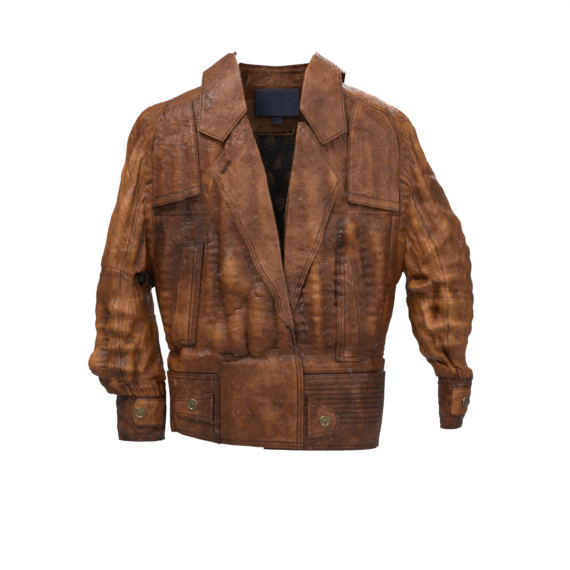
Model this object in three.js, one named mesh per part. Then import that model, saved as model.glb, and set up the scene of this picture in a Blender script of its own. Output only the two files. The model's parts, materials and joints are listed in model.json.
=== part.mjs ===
// Cropped leather riding jacket with wide batwing sleeves, hanging by its shoulders.
// Units are millimetres, +Z is up, +X is the wearer's left, and the front faces -Y.
// The origin is the hanger seat: the middle of the neck, on the line of the shoulders.
// Every panel is a thin plate laid on a shell: the body, the collar or one of the sleeves.
import * as THREE from "three";

const RIGHT = -1;
const LEFT = 1;
const GAP = 0.5; // between two pieces that are sewn together

// Thicknesses, and how far the outer face of each layer stands off the body shell.
const LEATHER = 1.8;
const SHELL_LAYER = { top: 0, thick: LEATHER };
const LINING = { top: -4.4, thick: 1.2 };
const WELT = { top: 4.2, thick: 2.4 };
const FLAP = { top: 4.4, thick: 2.2 };
const BAND = { top: 2.8, thick: 2.6 };
const TAB = { top: 7.2, thick: 2.2 };
const BAG = { top: -12, thick: 1.4 };
const FRONT_LINING = { top: -17, thick: 1.2 };
const POCKET_MOUTH = { high: -285, low: -425, width: 7 };
const LAPEL = { top: 4.2, thick: 2.4 };
const LEAF = { top: 9.5, thick: 2.6 };
const OVERLAP = 8; // how far the right front stands off the left front it covers

// Driving heights and widths.
const HEM_Z = -600; // at the middle of the back
const UNDERARM_Z = -345;
const WAIST_Z = -488; // top of the waistband
const CHEST_Z = -224; // top of the opening fronts, just below the storm flaps
const GORGE_Z = -118; // where collar and lapel part
const NECK_HALF = 60; // half the width between the two neck points
const NECK_POINT_Z = 22;
const SHOULDER_SLOPE = 0.42;
const SHOULDER_ROUND = 60;
const COLLAR_TOP_Z = 52;
const COLLAR_SLOPE = 0.72;
const COLLAR_ROUND = 78;
const SADDLE_FRONT = 1.02; // radians from the shoulder ridge down to its front seam
const SADDLE_BACK = -0.85;

// Snap fasteners.
const CAP = { radius: 9.5, height: 2.4 };
const STUD = { radius: 4.5, height: 1.4 };

// The body shell: half width and depth at each height, and how square its section is.
const HALF_WIDTH = [[60, 225], [0, 238], [-150, 248], [-250, 238], [-345, 201], [-420, 189], [-504, 180], [-640, 172]];
const FRONT_DEPTH = [[60, 62], [0, 72], [-100, 86], [-200, 96], [-350, 102], [-450, 103], [-640, 96]];
const BACK_DEPTH = [[60, 54], [0, 60], [-100, 74], [-200, 84], [-350, 92], [-450, 94], [-640, 90]];
const SQUARENESS = 0.06;

// How far out the body panels reach at each height of the armhole.
const ARMHOLE = [[-26, 172], [-60, 190], [-110, 205], [-215, 207], [-300, 204], [-345, 199.5]];
const ARMHOLE_TOP_Z = -34;
const ARMHOLE_LOW_Z = -343;

// A value read along a table of [height, value] pairs that runs downwards.
function along(table, z) {
  const last = table.length - 1;
  if (z >= table[0][0]) return table[0][1];
  if (z <= table[last][0]) return table[last][1];
  const i = table.findIndex(([height]) => height < z);
  const [z0, a] = table[i - 1];
  const [z1, b] = table[i];
  return THREE.MathUtils.lerp(a, b, THREE.MathUtils.smootherstep(z0 - z, 0, z0 - z1) * 0.35 + ((z0 - z) / (z0 - z1)) * 0.65);
}

const shoulderRidge = (x) => NECK_POINT_Z - SHOULDER_SLOPE * (Math.abs(x) - NECK_HALF);
const collarRidge = (x) => COLLAR_TOP_Z - COLLAR_SLOPE * (Math.abs(x) - NECK_HALF);

// A shell is a ring round the body at each height, closed above along a sloping ridge.
function makeShell(ridge, round) {
  const point = (phi, z) => {
    const x = along(HALF_WIDTH, z) * Math.sin(phi + SQUARENESS * Math.sin(2 * phi));
    const across = Math.cos(phi - SQUARENESS * Math.sin(2 * phi));
    const depth = along(across > 0 ? FRONT_DEPTH : BACK_DEPTH, z);
    const below = THREE.MathUtils.clamp((ridge(x) - z) / round, 0.0004, 1);
    return new THREE.Vector3(x, -depth * across * Math.sqrt(1 - (1 - below) ** 2), z);
  };
  const lifted = (phi, z, lift) => {
    const sideways = point(phi + 0.03, z).sub(point(phi - 0.03, z));
    const upwards = point(phi, z + 3).sub(point(phi, z - 3));
    return point(phi, z).addScaledVector(sideways.cross(upwards).normalize(), lift);
  };
  return { point, lifted };
}
const BODY = makeShell(shoulderRidge, SHOULDER_ROUND);
const COLLAR = makeShell(collarRidge, COLLAR_ROUND);

// The shell angle of a point seen from the front, or from behind, at x and z.
function angleAt(x, z, behind = false) {
  const seen = Math.asin(THREE.MathUtils.clamp(x / along(HALF_WIDTH, z), -1, 1));
  let phi = seen;
  for (let i = 0; i < 8; i++) phi = seen - SQUARENESS * Math.sin(2 * phi);
  return behind ? Math.PI - phi : phi;
}

// A point on a shell seen at x and z, lifted off it.
const onShell = (x, z, lift = 0, behind = false, shell = BODY) => shell.lifted(angleAt(x, z, behind), z, lift);

// A point on the shoulder: x along it, and the turn from its ridge towards the front.
function overRidge(x, turn, lift) {
  const at = (px, t) => {
    const z = shoulderRidge(px) - SHOULDER_ROUND * (1 - Math.cos(t));
    const phi = angleAt(px, z);
    const across = Math.cos(phi - SQUARENESS * Math.sin(2 * phi));
    return new THREE.Vector3(px, -along(t > 0 ? FRONT_DEPTH : BACK_DEPTH, z) * across * Math.sin(t), z);
  };
  const outwards = at(x + 2, turn).sub(at(x - 2, turn));
  const forwards = at(x, turn + 0.05).sub(at(x, turn - 0.05));
  return at(x, turn).addScaledVector(forwards.cross(outwards).normalize(), lift);
}

// A closed solid from an outer and an inner grid of points; a looped grid joins round on itself.
function solid(place, across, down, top, thick, looped = false) {
  const width = looped ? across : across + 1;
  const layer = width * (down + 1);
  const positions = [];
  const index = [];
  for (const lift of [top, top - thick])
    for (let j = 0; j <= down; j++)
      for (let i = 0; i < width; i++) positions.push(...place(i / across, j / down, lift).toArray());
  const at = (i, j, side) => side * layer + j * width + (i % width);
  const quad = (a, b, c, d) => index.push(a, b, c, a, c, d);
  for (let i = 0; i < across; i++) {
    for (let j = 0; j < down; j++) {
      quad(at(i, j, 0), at(i, j + 1, 0), at(i + 1, j + 1, 0), at(i + 1, j, 0));
      quad(at(i, j, 1), at(i + 1, j, 1), at(i + 1, j + 1, 1), at(i, j + 1, 1));
    }
    quad(at(i, 0, 0), at(i + 1, 0, 0), at(i + 1, 0, 1), at(i, 0, 1));
    quad(at(i, down, 0), at(i, down, 1), at(i + 1, down, 1), at(i + 1, down, 0));
  }
  for (let j = 0; j < down && !looped; j++) {
    quad(at(0, j, 0), at(0, j, 1), at(0, j + 1, 1), at(0, j + 1, 0));
    quad(at(across, j, 0), at(across, j + 1, 0), at(across, j + 1, 1), at(across, j, 1));
  }
  return facingOut(positions, index);
}

// A geometry with its faces turned outwards, whichever way round its grid ran.
function facingOut(positions, index) {
  const corner = (k) => new THREE.Vector3().fromArray(positions, 3 * index[k]);
  let volume = 0;
  for (let k = 0; k < index.length; k += 3) volume += corner(k).dot(corner(k + 1).cross(corner(k + 2)));
  for (let k = 0; k < index.length && volume < 0; k += 3) [index[k], index[k + 1]] = [index[k + 1], index[k]];
  const made = new THREE.BufferGeometry();
  made.setAttribute("position", new THREE.Float32BufferAttribute(positions, 3));
  made.setIndex(index);
  return made;
}

// Pairs of points down two edges of as many corners, with a pair at every corner.
function rowsBetween(first, second, step) {
  const rows = [[first[0], second[0]]];
  const distance = (a, b) => Math.hypot(a[0] - b[0], a[1] - b[1]);
  for (let i = 1; i < first.length; i++) {
    const longest = Math.max(distance(first[i], first[i - 1]), distance(second[i], second[i - 1]));
    const count = Math.max(1, Math.round(longest / step));
    const at = (edge, t) => edge[i - 1].map((value, k) => value + (edge[i][k] - value) * t);
    for (let k = 1; k <= count; k++) rows.push([at(first, k / count), at(second, k / count)]);
  }
  return rows;
}

// A panel drawn in the front view between two edges of as many corners, laid on a shell.
function panel({ first, second, across = 6, step = 30, layer, shell = BODY, behind = false, rise = () => 0 }) {
  const rows = rowsBetween(first, second, step);
  const down = rows.length - 1;
  const place = (u, v, lift) => {
    const [a, b] = rows[Math.round(v * down)];
    const x = a[0] + (b[0] - a[0]) * u;
    return onShell(x, a[1] + (b[1] - a[1]) * u, lift + rise(x), behind, shell);
  };
  return solid(place, across, down, layer.top, layer.thick);
}

// A panel that wraps round the body between two shell angles and two heights.
function wrap({ from, to, high, low, layer, across = 12, down = 4, shell = BODY }) {
  const place = (u, v, lift) => {
    const z = high + (low - high) * v;
    return shell.lifted(from(z) + (to(z) - from(z)) * u, z, lift);
  };
  return solid(place, across, down, layer.top, layer.thick);
}

const group = new THREE.Group();
const FINISHES = {
  leather: { color: 0x7a4522, roughness: 0.5, metalness: 0 },
  dark_leather: { color: 0x4a2718, roughness: 0.55, metalness: 0 },
  lining: { color: 0x1d1a1b, roughness: 0.8, metalness: 0 },
  label: { color: 0x10162e, roughness: 0.7, metalness: 0 },
  padding: { color: 0xb8ad9a, roughness: 0.95, metalness: 0 },
  brass: { color: 0x5d5a43, roughness: 0.45, metalness: 0.9 },
};
function add(name, finish, geometry) {
  const mesh = new THREE.Mesh(geometry, new THREE.MeshStandardMaterial(FINISHES[finish]));
  mesh.name = name;
  group.add(mesh);
}
const mirrored = (corners) => corners.map(([x, z]) => [-x, z]);

// The line down the side of each front on which it folds open.
function fold(side, z) {
  return side * (190 - (22 * (CHEST_Z - z)) / (CHEST_Z - HEM_Z));
}

// ---- Back of the body and neck ---------------------------------------------------------------

const YOKE_SEAM_Z = -132;
const SIDE_SEAM = 1.72; // radians from the middle of the front
const NECK_LABEL = { x: 1.5, z: -31, width: 76, height: 46, thick: 0.8, y: 38 };
const LOOP = { width: 64, height: 20, bar: 2.6, thick: 3, z: -74, y: 50 };

// The edge of the back at a height: the armhole above, the side seam below it.
function backEdge(z) {
  return z > UNDERARM_Z ? angleAt(along(ARMHOLE, z), z, true) : SIDE_SEAM;
}

// A panel on the back that is the same on both sides of the middle.
function backPanel(name, finish, half, options) {
  add(name, finish, panel({ behind: true, first: mirrored(half), second: half, ...options }));
}

function buildBack() {
  const whole = (from) => ({ from, to: (z) => 2 * Math.PI - from(z) });
  add("back_panel", "leather", wrap({ ...whole(backEdge), high: YOKE_SEAM_Z, low: WAIST_Z, layer: SHELL_LAYER, across: 20, down: 10 }));
  backPanel("back_yoke", "leather", [[66, -4], [178, -52], [204.5, -110], [206, YOKE_SEAM_Z + GAP]], { layer: SHELL_LAYER, across: 18 });
  const liningEdge = (z) => angleAt(0.8 * along(HALF_WIDTH, z), z, true);
  add("back_lining", "lining", wrap({ ...whole(liningEdge), high: -96, low: -575, layer: LINING, across: 10, down: 8 }));
  add("waistband_back", "dark_leather", wrap({
    from: (z) => angleAt(fold(LEFT, z) + 3, z), to: (z) => 2 * Math.PI + angleAt(fold(RIGHT, z) - 3, z),
    high: WAIST_Z - GAP, low: HEM_Z, layer: BAND, across: 22, down: 2,
  }));
  backPanel("neck_facing", "leather", [[58, -20], [72, -92]], { layer: { top: -4, thick: 1.4 }, across: 10, step: 24 });
  backPanel("collar_stand", "leather", [[48, 30], [56, -6]], { shell: COLLAR, layer: { top: 2, thick: 2.4 }, across: 10, step: 20 });
  backPanel("collar_back", "leather", [[60, 36], [112, -26]], { shell: COLLAR, layer: LEAF, across: 14, step: 24 });
  const { x, y, z, width, height, thick } = NECK_LABEL;
  add("neck_label", "label", new THREE.BoxGeometry(width, thick, height).translate(x, y, z));
  add("size_tab", "label", new THREE.BoxGeometry(16, thick, 12).translate(x, y, z - height / 2 - 6.6));
  add("hang_loop", "leather", hangLoop());
}

// A flat strap loop: a rectangle of webbing with a rectangular gap.
function hangLoop() {
  const outline = (w, h, shape) => shape.moveTo(-w, -h).lineTo(w, -h).lineTo(w, h).lineTo(-w, h).closePath();
  const { width, height, bar, thick, y, z } = LOOP;
  const frame = outline(width / 2, height / 2, new THREE.Shape());
  frame.holes.push(outline(width / 2 - bar, height / 2 - bar, new THREE.Path()));
  const made = new THREE.ExtrudeGeometry(frame, { depth: thick, bevelEnabled: false });
  return made.rotateX(Math.PI / 2).translate(0, y + thick / 2, z);
}

// ---- Shoulders and fronts --------------------------------------------------------------------

// Corners are given for the wearer's left and mirrored for the right, unless they differ.
const CHEST_OUTER = [[177, -59], [204.5, -108], [206, CHEST_Z]];
const CHEST_INNER = [[64, -13], [84, GORGE_Z + 3], [121, CHEST_Z]];
const FRONT_EDGE = {
  [RIGHT]: [[-44, -72], [-8, -208], [-5, -224], [8, -290], [10, -300], [33, -437], [40, -450], [44, WAIST_Z]],
  [LEFT]: [[36, -82], [16, -208], [15, -224], [12, -290], [11, -300], [-2, -430], [-6, -442], [-20, WAIST_Z]],
};
const LAPELS = {
  [RIGHT]: {
    outer: [[-50, -68], [-82, -114], [-109, -154], [-60, -244], [0, -373], [33, -437]],
    inner: [[-46, -68], [-31, -114], [-20, -154], [0, -244], [22, -373], [36, -437]],
  },
  [LEFT]: {
    outer: [[47, -78], [87, -131], [109, -170], [89, -226], [56, -287]],
    inner: [[36, -78], [29, -131], [23, -170], [18, -226], [14, -287]],
  },
};
const LEAVES = {
  [RIGHT]: { outer: [[-74, 40], [-118, 9], [-128, -92], [-86, -112]], inner: [[-65, 36], [-57, 6], [-50, -40], [-46, -60]] },
  [LEFT]: { outer: [[67, 36], [103, 9], [116, -94], [76, -117]], inner: [[58, 34], [46, 6], [41, -36], [38, -58]] },
};
const FLAPS = {
  [RIGHT]: { outer: [[-196, -92], [-204, -150], [-204, -215]], inner: [[-131, -76], [-126, -140], [-124, -194]] },
  [LEFT]: { outer: [[197, -96], [204, -150], [200, -221]], inner: [[119, -84], [117, -140], [116, -206]] },
};
const WELTS = {
  [RIGHT]: { outer: [[-160, -270], [-174, -438]], inner: [[-118, -266], [-131, -436]] },
  [LEFT]: { outer: [[129, -296], [146, -470]], inner: [[97, -296], [99, -470]] },
};
const WAIST_TABS = {
  [RIGHT]: { root: [[-100, -519], [-100, -570]], tip: [[-158, -530], [-166, -545], [-158, -560]], snap: [-134, -541] },
  [LEFT]: { root: [[50, -522], [50, -596]], tip: [[98, -550], [105, -569], [98, -588]], snap: [78, -566] },
};

const HEMS = { [RIGHT]: { side: -590, front: -611 }, [LEFT]: { side: -618, front: -612 } };

// How far the right front stands off the body where it covers the left one.
const rises = {
  [RIGHT]: (x) => OVERLAP * THREE.MathUtils.smoothstep(x, -112, -66),
  [LEFT]: () => 0,
};

function buildShoulder(side, name) {
  const saddle = (u, v, lift) => overRidge(side * (64 + 108 * u), SADDLE_FRONT + (SADDLE_BACK - SADDLE_FRONT) * v, lift);
  add(`${name}_saddle`, "leather", solid(saddle, 5, 8, 0, LEATHER));
  const pad = (u, v, lift) => {
    const bulge = Math.sin(Math.PI * (0.12 + 0.76 * u)) * Math.sin(Math.PI * (0.12 + 0.76 * v));
    return overRidge(side * (106 + 62 * u), 0.8 - 1.5 * v, lift === 0 ? -2.6 : -2.8 - 9 * bulge);
  };
  add(`${name}_shoulder_pad`, "padding", solid(pad, 6, 8, 0, 1));
  const at = side === RIGHT ? mirrored : (corners) => corners;
  add(`${name}_chest`, "leather", panel({ first: at(CHEST_INNER), second: at(CHEST_OUTER), across: 6, layer: SHELL_LAYER }));
  add(`${name}_collar_leaf`, "leather", panel({ ...edges(LEAVES[side]), across: 4, step: 20, layer: LEAF, shell: COLLAR }));
  add(`${name}_storm_flap`, "leather", panel({ ...edges(FLAPS[side]), across: 5, layer: FLAP }));
}

const edges = ({ outer, inner }) => ({ first: outer, second: inner });

function buildFront(side, name) {
  const rise = rises[side];
  const front = FRONT_EDGE[side];
  const { high, low, width } = POCKET_MOUTH;
  const mouth = [high + 6, high, low, low - 6].map((z, i) => [fold(side, z) - (i % 3 ? side * width : 0), z]);
  const chest = [[side * 83, GORGE_Z], [side * 119, CHEST_Z - 3], [fold(side, CHEST_Z - 3), CHEST_Z - 3]];
  add(`${name}_front`, "leather", panel({
    first: [...chest, ...mouth, [fold(side, WAIST_Z), WAIST_Z]], second: front, across: 9, layer: SHELL_LAYER, rise,
  }));
  add(`${name}_lapel`, "leather", panel({ ...edges(LAPELS[side]), across: 5, layer: LAPEL, rise }));
  add(`${name}_front_lining`, "lining", panel({
    first: [[side * 112, -250], [side * 150, -470]], second: side === RIGHT ? [[-8, -250], [-26, -470]] : [[28, -250], [10, -470]],
    across: 6, layer: FRONT_LINING, rise,
  }));
  add(`${name}_side_panel`, "leather", sidePanel(side));
  add(`${name}_pocket_welt`, "dark_leather", panel({ ...edges(WELTS[side]), across: 3, layer: WELT, rise }));
  const bag = { first: [[side * 190, -278], [side * 180, -445]], second: [[side * 112, -278], [side * 112, -445]] };
  add(`${name}_pocket_bag`, "lining", panel({ ...bag, across: 5, layer: BAG }));
  const bandEdge = front[7][0];
  add(`${name}_waistband`, "dark_leather", panel({
    first: [[fold(side, WAIST_Z), WAIST_Z - GAP], [fold(side, HEM_Z), HEMS[side].side]],
    second: [[bandEdge, WAIST_Z - GAP], [bandEdge, HEMS[side].front]], across: 10, step: 56, layer: BAND, rise,
  }));
  const { root, tip, snap: [x, z] } = WAIST_TABS[side];
  const tab = { first: [root[0], [root[0][0], (root[0][1] + root[1][1]) / 2], root[1]], second: tip };
  add(`${name}_waist_tab`, "leather", panel({ ...tab, across: 5, layer: TAB, rise: tabRise(side) }));
  const lift = tabRise(side)(x);
  add(`${name}_waist_snap`, "brass", disc(x, z, TAB.top + lift + 0.35, CAP));
  add(`${name}_waist_stud`, "brass", disc(x, z, BAND.top + rise(x) + 0.35, STUD));
}

// A waist tab stays level across the step where the right front comes down to the body.
const tabRise = (side) => (x) => Math.max(0.6, rises[side](x));

// The soft strip between a front and the back, which bends when the front is opened.
function sidePanel(side) {
  const place = (u, v, lift) => {
    const z = CHEST_Z - 2 + (WAIST_Z - CHEST_Z + 2) * v;
    const inner = angleAt(fold(side, z) + side * 3, z);
    const back = side * SIDE_SEAM;
    const outer = z > UNDERARM_Z ? angleAt(side * along(ARMHOLE, z), z) : back - side * 0.006;
    return BODY.lifted(inner + (outer - inner) * u, z, lift);
  };
  return solid(place, 4, 10, 0, LEATHER);
}

// A round flat-topped disc standing on the body shell.
function disc(x, z, base, { radius, height }) {
  const foot = onShell(x, z, base);
  const up = onShell(x, z, base + 1).sub(foot).normalize();
  const made = new THREE.CylinderGeometry(radius, radius, height, 24);
  made.applyQuaternion(new THREE.Quaternion().setFromUnitVectors(new THREE.Vector3(0, 1, 0), up));
  return made.translate(...foot.addScaledVector(up, height / 2).toArray());
}

// ---- Sleeves ---------------------------------------------------------------------------------

// Sections of each sleeve below the armhole: outer x and z, inner x and z, and half depth.
const SLEEVES = {
  [RIGHT]: [
    [-258, -118, -209, -338, 56], [-292, -272, -210, -352, 62], [-310, -400, -205, -418, 60],
    [-309, -470, -197, -478, 54], [-286, -527, -187, -529, 46],
  ],
  [LEFT]: [
    [268, -135, 214, -325, 58], [323, -264, 218, -345, 64], [337, -395, 227, -400, 58],
    [325, -450, 249, -452, 50], [331, -497, 272, -500, 46],
  ],
};
const CUFFS = {
  [RIGHT]: { high: [-271, -528, -187, -530, 42], low: [-268, -606, -190, -607, 38], tab: [-238, -556], snap: [-226, -556] },
  [LEFT]: { high: [335, -498, 275, -501, 42], low: [314, -584, 280, -587, 38], tab: [312, -540], snap: [320, -538] },
};

// A point on an oval section, inset by a depth; the turn runs outer, front, inner, back.
function onSection([ox, oz, ix, iz, depth], turn, inset) {
  const middle = new THREE.Vector3((ox + ix) / 2, 0, (oz + iz) / 2);
  const reach = new THREE.Vector3((ox - ix) / 2, 0, (oz - iz) / 2);
  const shrink = 1 - inset / reach.length();
  const squarer = turn + 0.1 * Math.sin(2 * turn);
  return middle.addScaledVector(reach, Math.cos(squarer) * shrink).add(new THREE.Vector3(0, -Math.sin(squarer) * (depth - inset), 0));
}

// A point on the ring where a sleeve meets the armhole of the body.
function onArmhole(side, turn, inset) {
  const z = (ARMHOLE_TOP_Z + ARMHOLE_LOW_Z) / 2 + ((ARMHOLE_TOP_Z - ARMHOLE_LOW_Z) / 2 - inset) * Math.cos(turn);
  const x = side * along(ARMHOLE, z);
  const edge = BODY.point(angleAt(x, z, Math.sin(turn) < 0), z);
  return new THREE.Vector3(x + side * 2.8, edge.y * Math.max(0, 1 - inset / Math.max(8, Math.abs(edge.y))), z);
}

// A length of sleeve between two rings, as a tube wall.
function tube(first, second, down, thick = LEATHER, round = 22) {
  const place = (u, v, lift) => first(2 * Math.PI * u, -lift).lerp(second(2 * Math.PI * u, -lift), v);
  return solid(place, round, down, 0, thick, true);
}

// A section a share of the way from one to the next.
const between = (a, b, share) => a.map((value, k) => value + (b[k] - value) * share);

function buildSleeve(side, name) {
  const sections = SLEEVES[side];
  const ringOf = (section, inset = 0) => (turn, depth) => onSection(section, turn, depth + inset);
  const joined = (i, share) => ringOf(between(sections[i], sections[i + 1], share));
  add(`${name}_sleeve_head`, "leather", tube((turn, depth) => onArmhole(side, turn, depth), ringOf(sections[0]), 4));
  add(`${name}_upper_sleeve`, "leather", tube(joined(0, 0.015), joined(0, 0.985), 4));
  add(`${name}_elbow`, "leather", tube(ringOf(sections[1]), ringOf(sections[2]), 5));
  add(`${name}_forearm`, "leather", solid((u, v, lift) => {
    const share = 0.01 + 1.98 * v;
    const i = share < 1 ? 2 : 3;
    return onSection(between(sections[i], sections[i + 1], share - (i - 2)), 2 * Math.PI * u, -lift);
  }, 22, 6, 0, LEATHER, true));
  add(`${name}_sleeve_lining`, "lining", solid((u, v, lift) => {
    const share = 0.15 + 3.7 * v;
    const i = Math.min(3, Math.floor(share));
    return onSection(between(sections[i], sections[i + 1], share - i), 2 * Math.PI * u, 3.2 - lift);
  }, 20, 10, 0, 1.2, true));
  const { high, low } = CUFFS[side];
  add(`${name}_cuff`, "dark_leather", tube(ringOf(high), ringOf(low), 3, 2.4));
  buildCuffTab(side, name);
}

// The strap that closes a cuff, flat on its front, with its snap and the stud under it.
function buildCuffTab(side, name) {
  const { high, low, tab, snap } = CUFFS[side];
  const lying = (turn, share, lift) => {
    const at = onSection(between(high, low, share), turn, 0);
    const ahead = onSection(between(high, low, share), turn + 0.03, 0).sub(onSection(between(high, low, share), turn - 0.03, 0));
    const down = onSection(between(high, low, share + 0.1), turn, 0).sub(at);
    return at.addScaledVector(ahead.cross(down).normalize(), side * lift);
  };
  const { from, to, share, half, snapTurn } = CUFF_TABS[side];
  const place = (u, v, lift) => lying(from + (to - from) * u, share + half * (2 * v - 1) * (u > 0.99 ? 0.7 : 1), lift);
  add(`${name}_cuff_tab`, "leather", solid(place, 8, 2, 4.6, 2.2));
  const up = lying(snapTurn, share, 1).sub(lying(snapTurn, share, 0));
  for (const [part, base, { radius, height }] of [["snap", 4.95, CAP], ["stud", 0.35, STUD]]) {
    const made = new THREE.CylinderGeometry(radius, radius, height, 24);
    made.applyQuaternion(new THREE.Quaternion().setFromUnitVectors(new THREE.Vector3(0, 1, 0), up));
    made.translate(...lying(snapTurn, share, base + height / 2).toArray());
    add(`${name}_cuff_${part}`, "brass", made);
  }
}
const CUFF_TABS = {
  [RIGHT]: { from: 2.75, to: 1.3, share: 0.36, half: 0.3, snapTurn: 1.62 },
  [LEFT]: { from: 1.9, to: 0.5, share: 0.46, half: 0.28, snapTurn: 0.95 },
};

buildBack();
for (const [side, name] of [[RIGHT, "right"], [LEFT, "left"]]) {
  buildShoulder(side, name);
  buildFront(side, name);
  buildSleeve(side, name);
}

export default group;
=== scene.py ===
"""Looks of a worn leather riding jacket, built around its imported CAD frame.

Shapes are worked out in millimetres on three drapes (the body and two sleeves), whose leather is first
crumpled by a short cloth simulation, and every panel, flap, tab and thread is then laid on a drape.
"""

from __future__ import annotations

import json
import logging
import math
from dataclasses import dataclass, field
from enum import Enum
from functools import cached_property
from typing import Callable, Iterable

import bpy
import numpy as np
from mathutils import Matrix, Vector

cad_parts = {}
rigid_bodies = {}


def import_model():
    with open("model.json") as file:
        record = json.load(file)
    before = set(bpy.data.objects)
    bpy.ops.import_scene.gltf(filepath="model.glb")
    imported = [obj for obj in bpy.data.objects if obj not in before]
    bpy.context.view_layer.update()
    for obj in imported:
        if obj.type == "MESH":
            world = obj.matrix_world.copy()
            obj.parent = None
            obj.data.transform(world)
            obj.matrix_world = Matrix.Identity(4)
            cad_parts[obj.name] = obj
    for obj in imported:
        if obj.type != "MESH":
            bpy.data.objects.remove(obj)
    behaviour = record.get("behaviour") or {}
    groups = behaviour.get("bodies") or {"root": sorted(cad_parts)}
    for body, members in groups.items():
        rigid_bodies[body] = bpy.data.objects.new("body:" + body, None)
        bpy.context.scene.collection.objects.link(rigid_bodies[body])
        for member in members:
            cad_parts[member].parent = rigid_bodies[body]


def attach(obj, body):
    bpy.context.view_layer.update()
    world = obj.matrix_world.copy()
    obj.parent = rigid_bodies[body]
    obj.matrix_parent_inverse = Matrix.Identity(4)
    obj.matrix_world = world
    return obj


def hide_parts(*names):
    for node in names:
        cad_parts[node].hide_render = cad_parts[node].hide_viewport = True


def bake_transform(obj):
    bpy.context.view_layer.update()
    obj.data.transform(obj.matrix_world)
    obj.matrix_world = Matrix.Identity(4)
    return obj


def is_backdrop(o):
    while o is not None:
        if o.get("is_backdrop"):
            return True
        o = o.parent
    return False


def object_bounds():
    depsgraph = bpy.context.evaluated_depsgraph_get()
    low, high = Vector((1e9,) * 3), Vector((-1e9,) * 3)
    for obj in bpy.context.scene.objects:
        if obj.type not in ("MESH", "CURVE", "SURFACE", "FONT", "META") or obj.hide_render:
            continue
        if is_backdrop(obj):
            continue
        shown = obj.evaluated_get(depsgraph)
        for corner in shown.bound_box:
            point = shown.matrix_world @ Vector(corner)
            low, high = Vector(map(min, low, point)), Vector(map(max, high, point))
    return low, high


LOG = logging.getLogger("jacket")
MM = 0.001
Array = np.ndarray
Corners = list[tuple[float, float]]
Colour = tuple[float, float, float]
Point = tuple[float, float, float]


class Side(Enum):
    """The wearer's sides, with the sign of X on each."""

    RIGHT = -1
    LEFT = 1

    @property
    def word(self) -> str:
        """The side's name as the frame's bodies use it."""
        return self.name.lower()


class Edge(Enum):
    """The four edges of a panel."""

    FIRST = "first"
    SECOND = "second"
    TOP = "top"
    BOTTOM = "bottom"


# ---- Drapes: the surfaces that everything is laid on ------------------------------------------

HALF_WIDTH = ((60, 225), (0, 238), (-150, 248), (-250, 238), (-345, 201), (-420, 189), (-504, 180),
              (-640, 172))
FRONT_DEPTH = ((60, 62), (0, 72), (-100, 86), (-200, 96), (-350, 102), (-450, 103), (-640, 96))
BACK_DEPTH = ((60, 54), (0, 60), (-100, 74), (-200, 84), (-350, 92), (-450, 94), (-640, 90))
ARMHOLE = ((-26, 174.5), (-60, 190), (-110, 205), (-215, 207), (-300, 204), (-345, 199.5))
SQUARENESS = 0.06
WAIST_Z = -488.0
CHEST_Z = -224.0
HEM_Z = -600.0
ARMHOLE_TOP_Z = -27.6
ARMHOLE_LOW_Z = -343.0
SIDE_SEAM = 1.72

# Thickness of the layers and how far each kind of piece stands off its drape, in millimetres.
LEATHER, LINING, COLLAR, BAND, TRIM = 1.8, 1.2, 2.6, 2.6, 2.4
BAND_LIFT, COLLAR_LIFT, LAPEL_LIFT, WELT_LIFT, TAB_LIFT = 2.8, 9.5, 4.4, 4.2, 7.4
BACK_LINING_LIFT, FRONT_LINING_LIFT, BAG_LIFT = -5.4, -17, -12.5
EDGE_ROUND = 1.6
TUCK_DEPTH = 2.5
STITCH_PITCH = 3.5
SLEEVE_LENGTH = 560
CUFF_LENGTH = 80
ARM_CLEARANCE = 209.5

WAVE_COUNT = 7
FOLD_STEPS = 15
CLOTH_FRAMES = 16
TURNED_SIDES = 48


def along(table: tuple[tuple[float, float], ...], z: Array) -> Array:
    """Reads a table of falling heights.

    Args:
        table: Pairs of height and value, from the highest down.
        z: Heights to read at.

    Returns:
        The eased value at each height.
    """
    heights = np.array([row[0] for row in table], float)
    values = np.array([row[1] for row in table], float)
    z = np.clip(np.asarray(z, float), heights[-1], heights[0])
    i = np.clip(np.searchsorted(-heights, -z, side="right") - 1, 0, len(heights) - 2)
    t = (heights[i] - z) / (heights[i] - heights[i + 1])
    eased = t**3 * (t * (t * 6 - 15) + 10) * 0.35 + t * 0.65
    return values[i] + (values[i + 1] - values[i]) * eased


def smooth(x: Array, low: float, high: float) -> Array:
    """A smooth step from 0 at low to 1 at high."""
    t = np.clip((np.asarray(x, float) - low) / (high - low), 0, 1)
    return t * t * (3 - 2 * t)


def bell(x: Array, centre: float, width: float) -> Array:
    """A soft bump of height 1 round a centre."""
    return np.exp(-(((x - centre) / width) ** 2))


def spline(points: Array, i: Array, t: Array) -> Array:
    """A smooth curve through padded points, at a share t of the way past each point i."""
    a, b, c, d = points[i], points[i + 1], points[i + 2], points[i + 3]
    return 0.5 * (2 * b + (c - a) * t + (2 * a - 5 * b + 4 * c - d) * t**2 + (3 * b - a - 3 * c + d) * t**3)


def padded(points: Array) -> Array:
    """Points with one more at each end, carried straight on."""
    return np.concatenate([[2 * points[0] - points[1]], points, [2 * points[-1] - points[-2]]])


def numbered(rows: int, columns: int) -> Array:
    """The vertex numbers of a grid."""
    return np.arange(rows * columns).reshape(rows, columns)


def quads(here: Array, following: Array) -> Array:
    """Faces between each column of vertex numbers and the column that follows it."""
    return np.stack([here[:-1], here[1:], following[1:], following[:-1]], -1).reshape(-1, 4)


def unit(vectors: Array) -> Array:
    """Vectors brought to length 1."""
    return vectors / np.maximum(np.linalg.norm(vectors, axis=-1, keepdims=True), 1e-9)


def around(count: int) -> Array:
    """Even angles round a circle."""
    return np.linspace(0, 2 * math.pi, count, endpoint=False)


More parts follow.
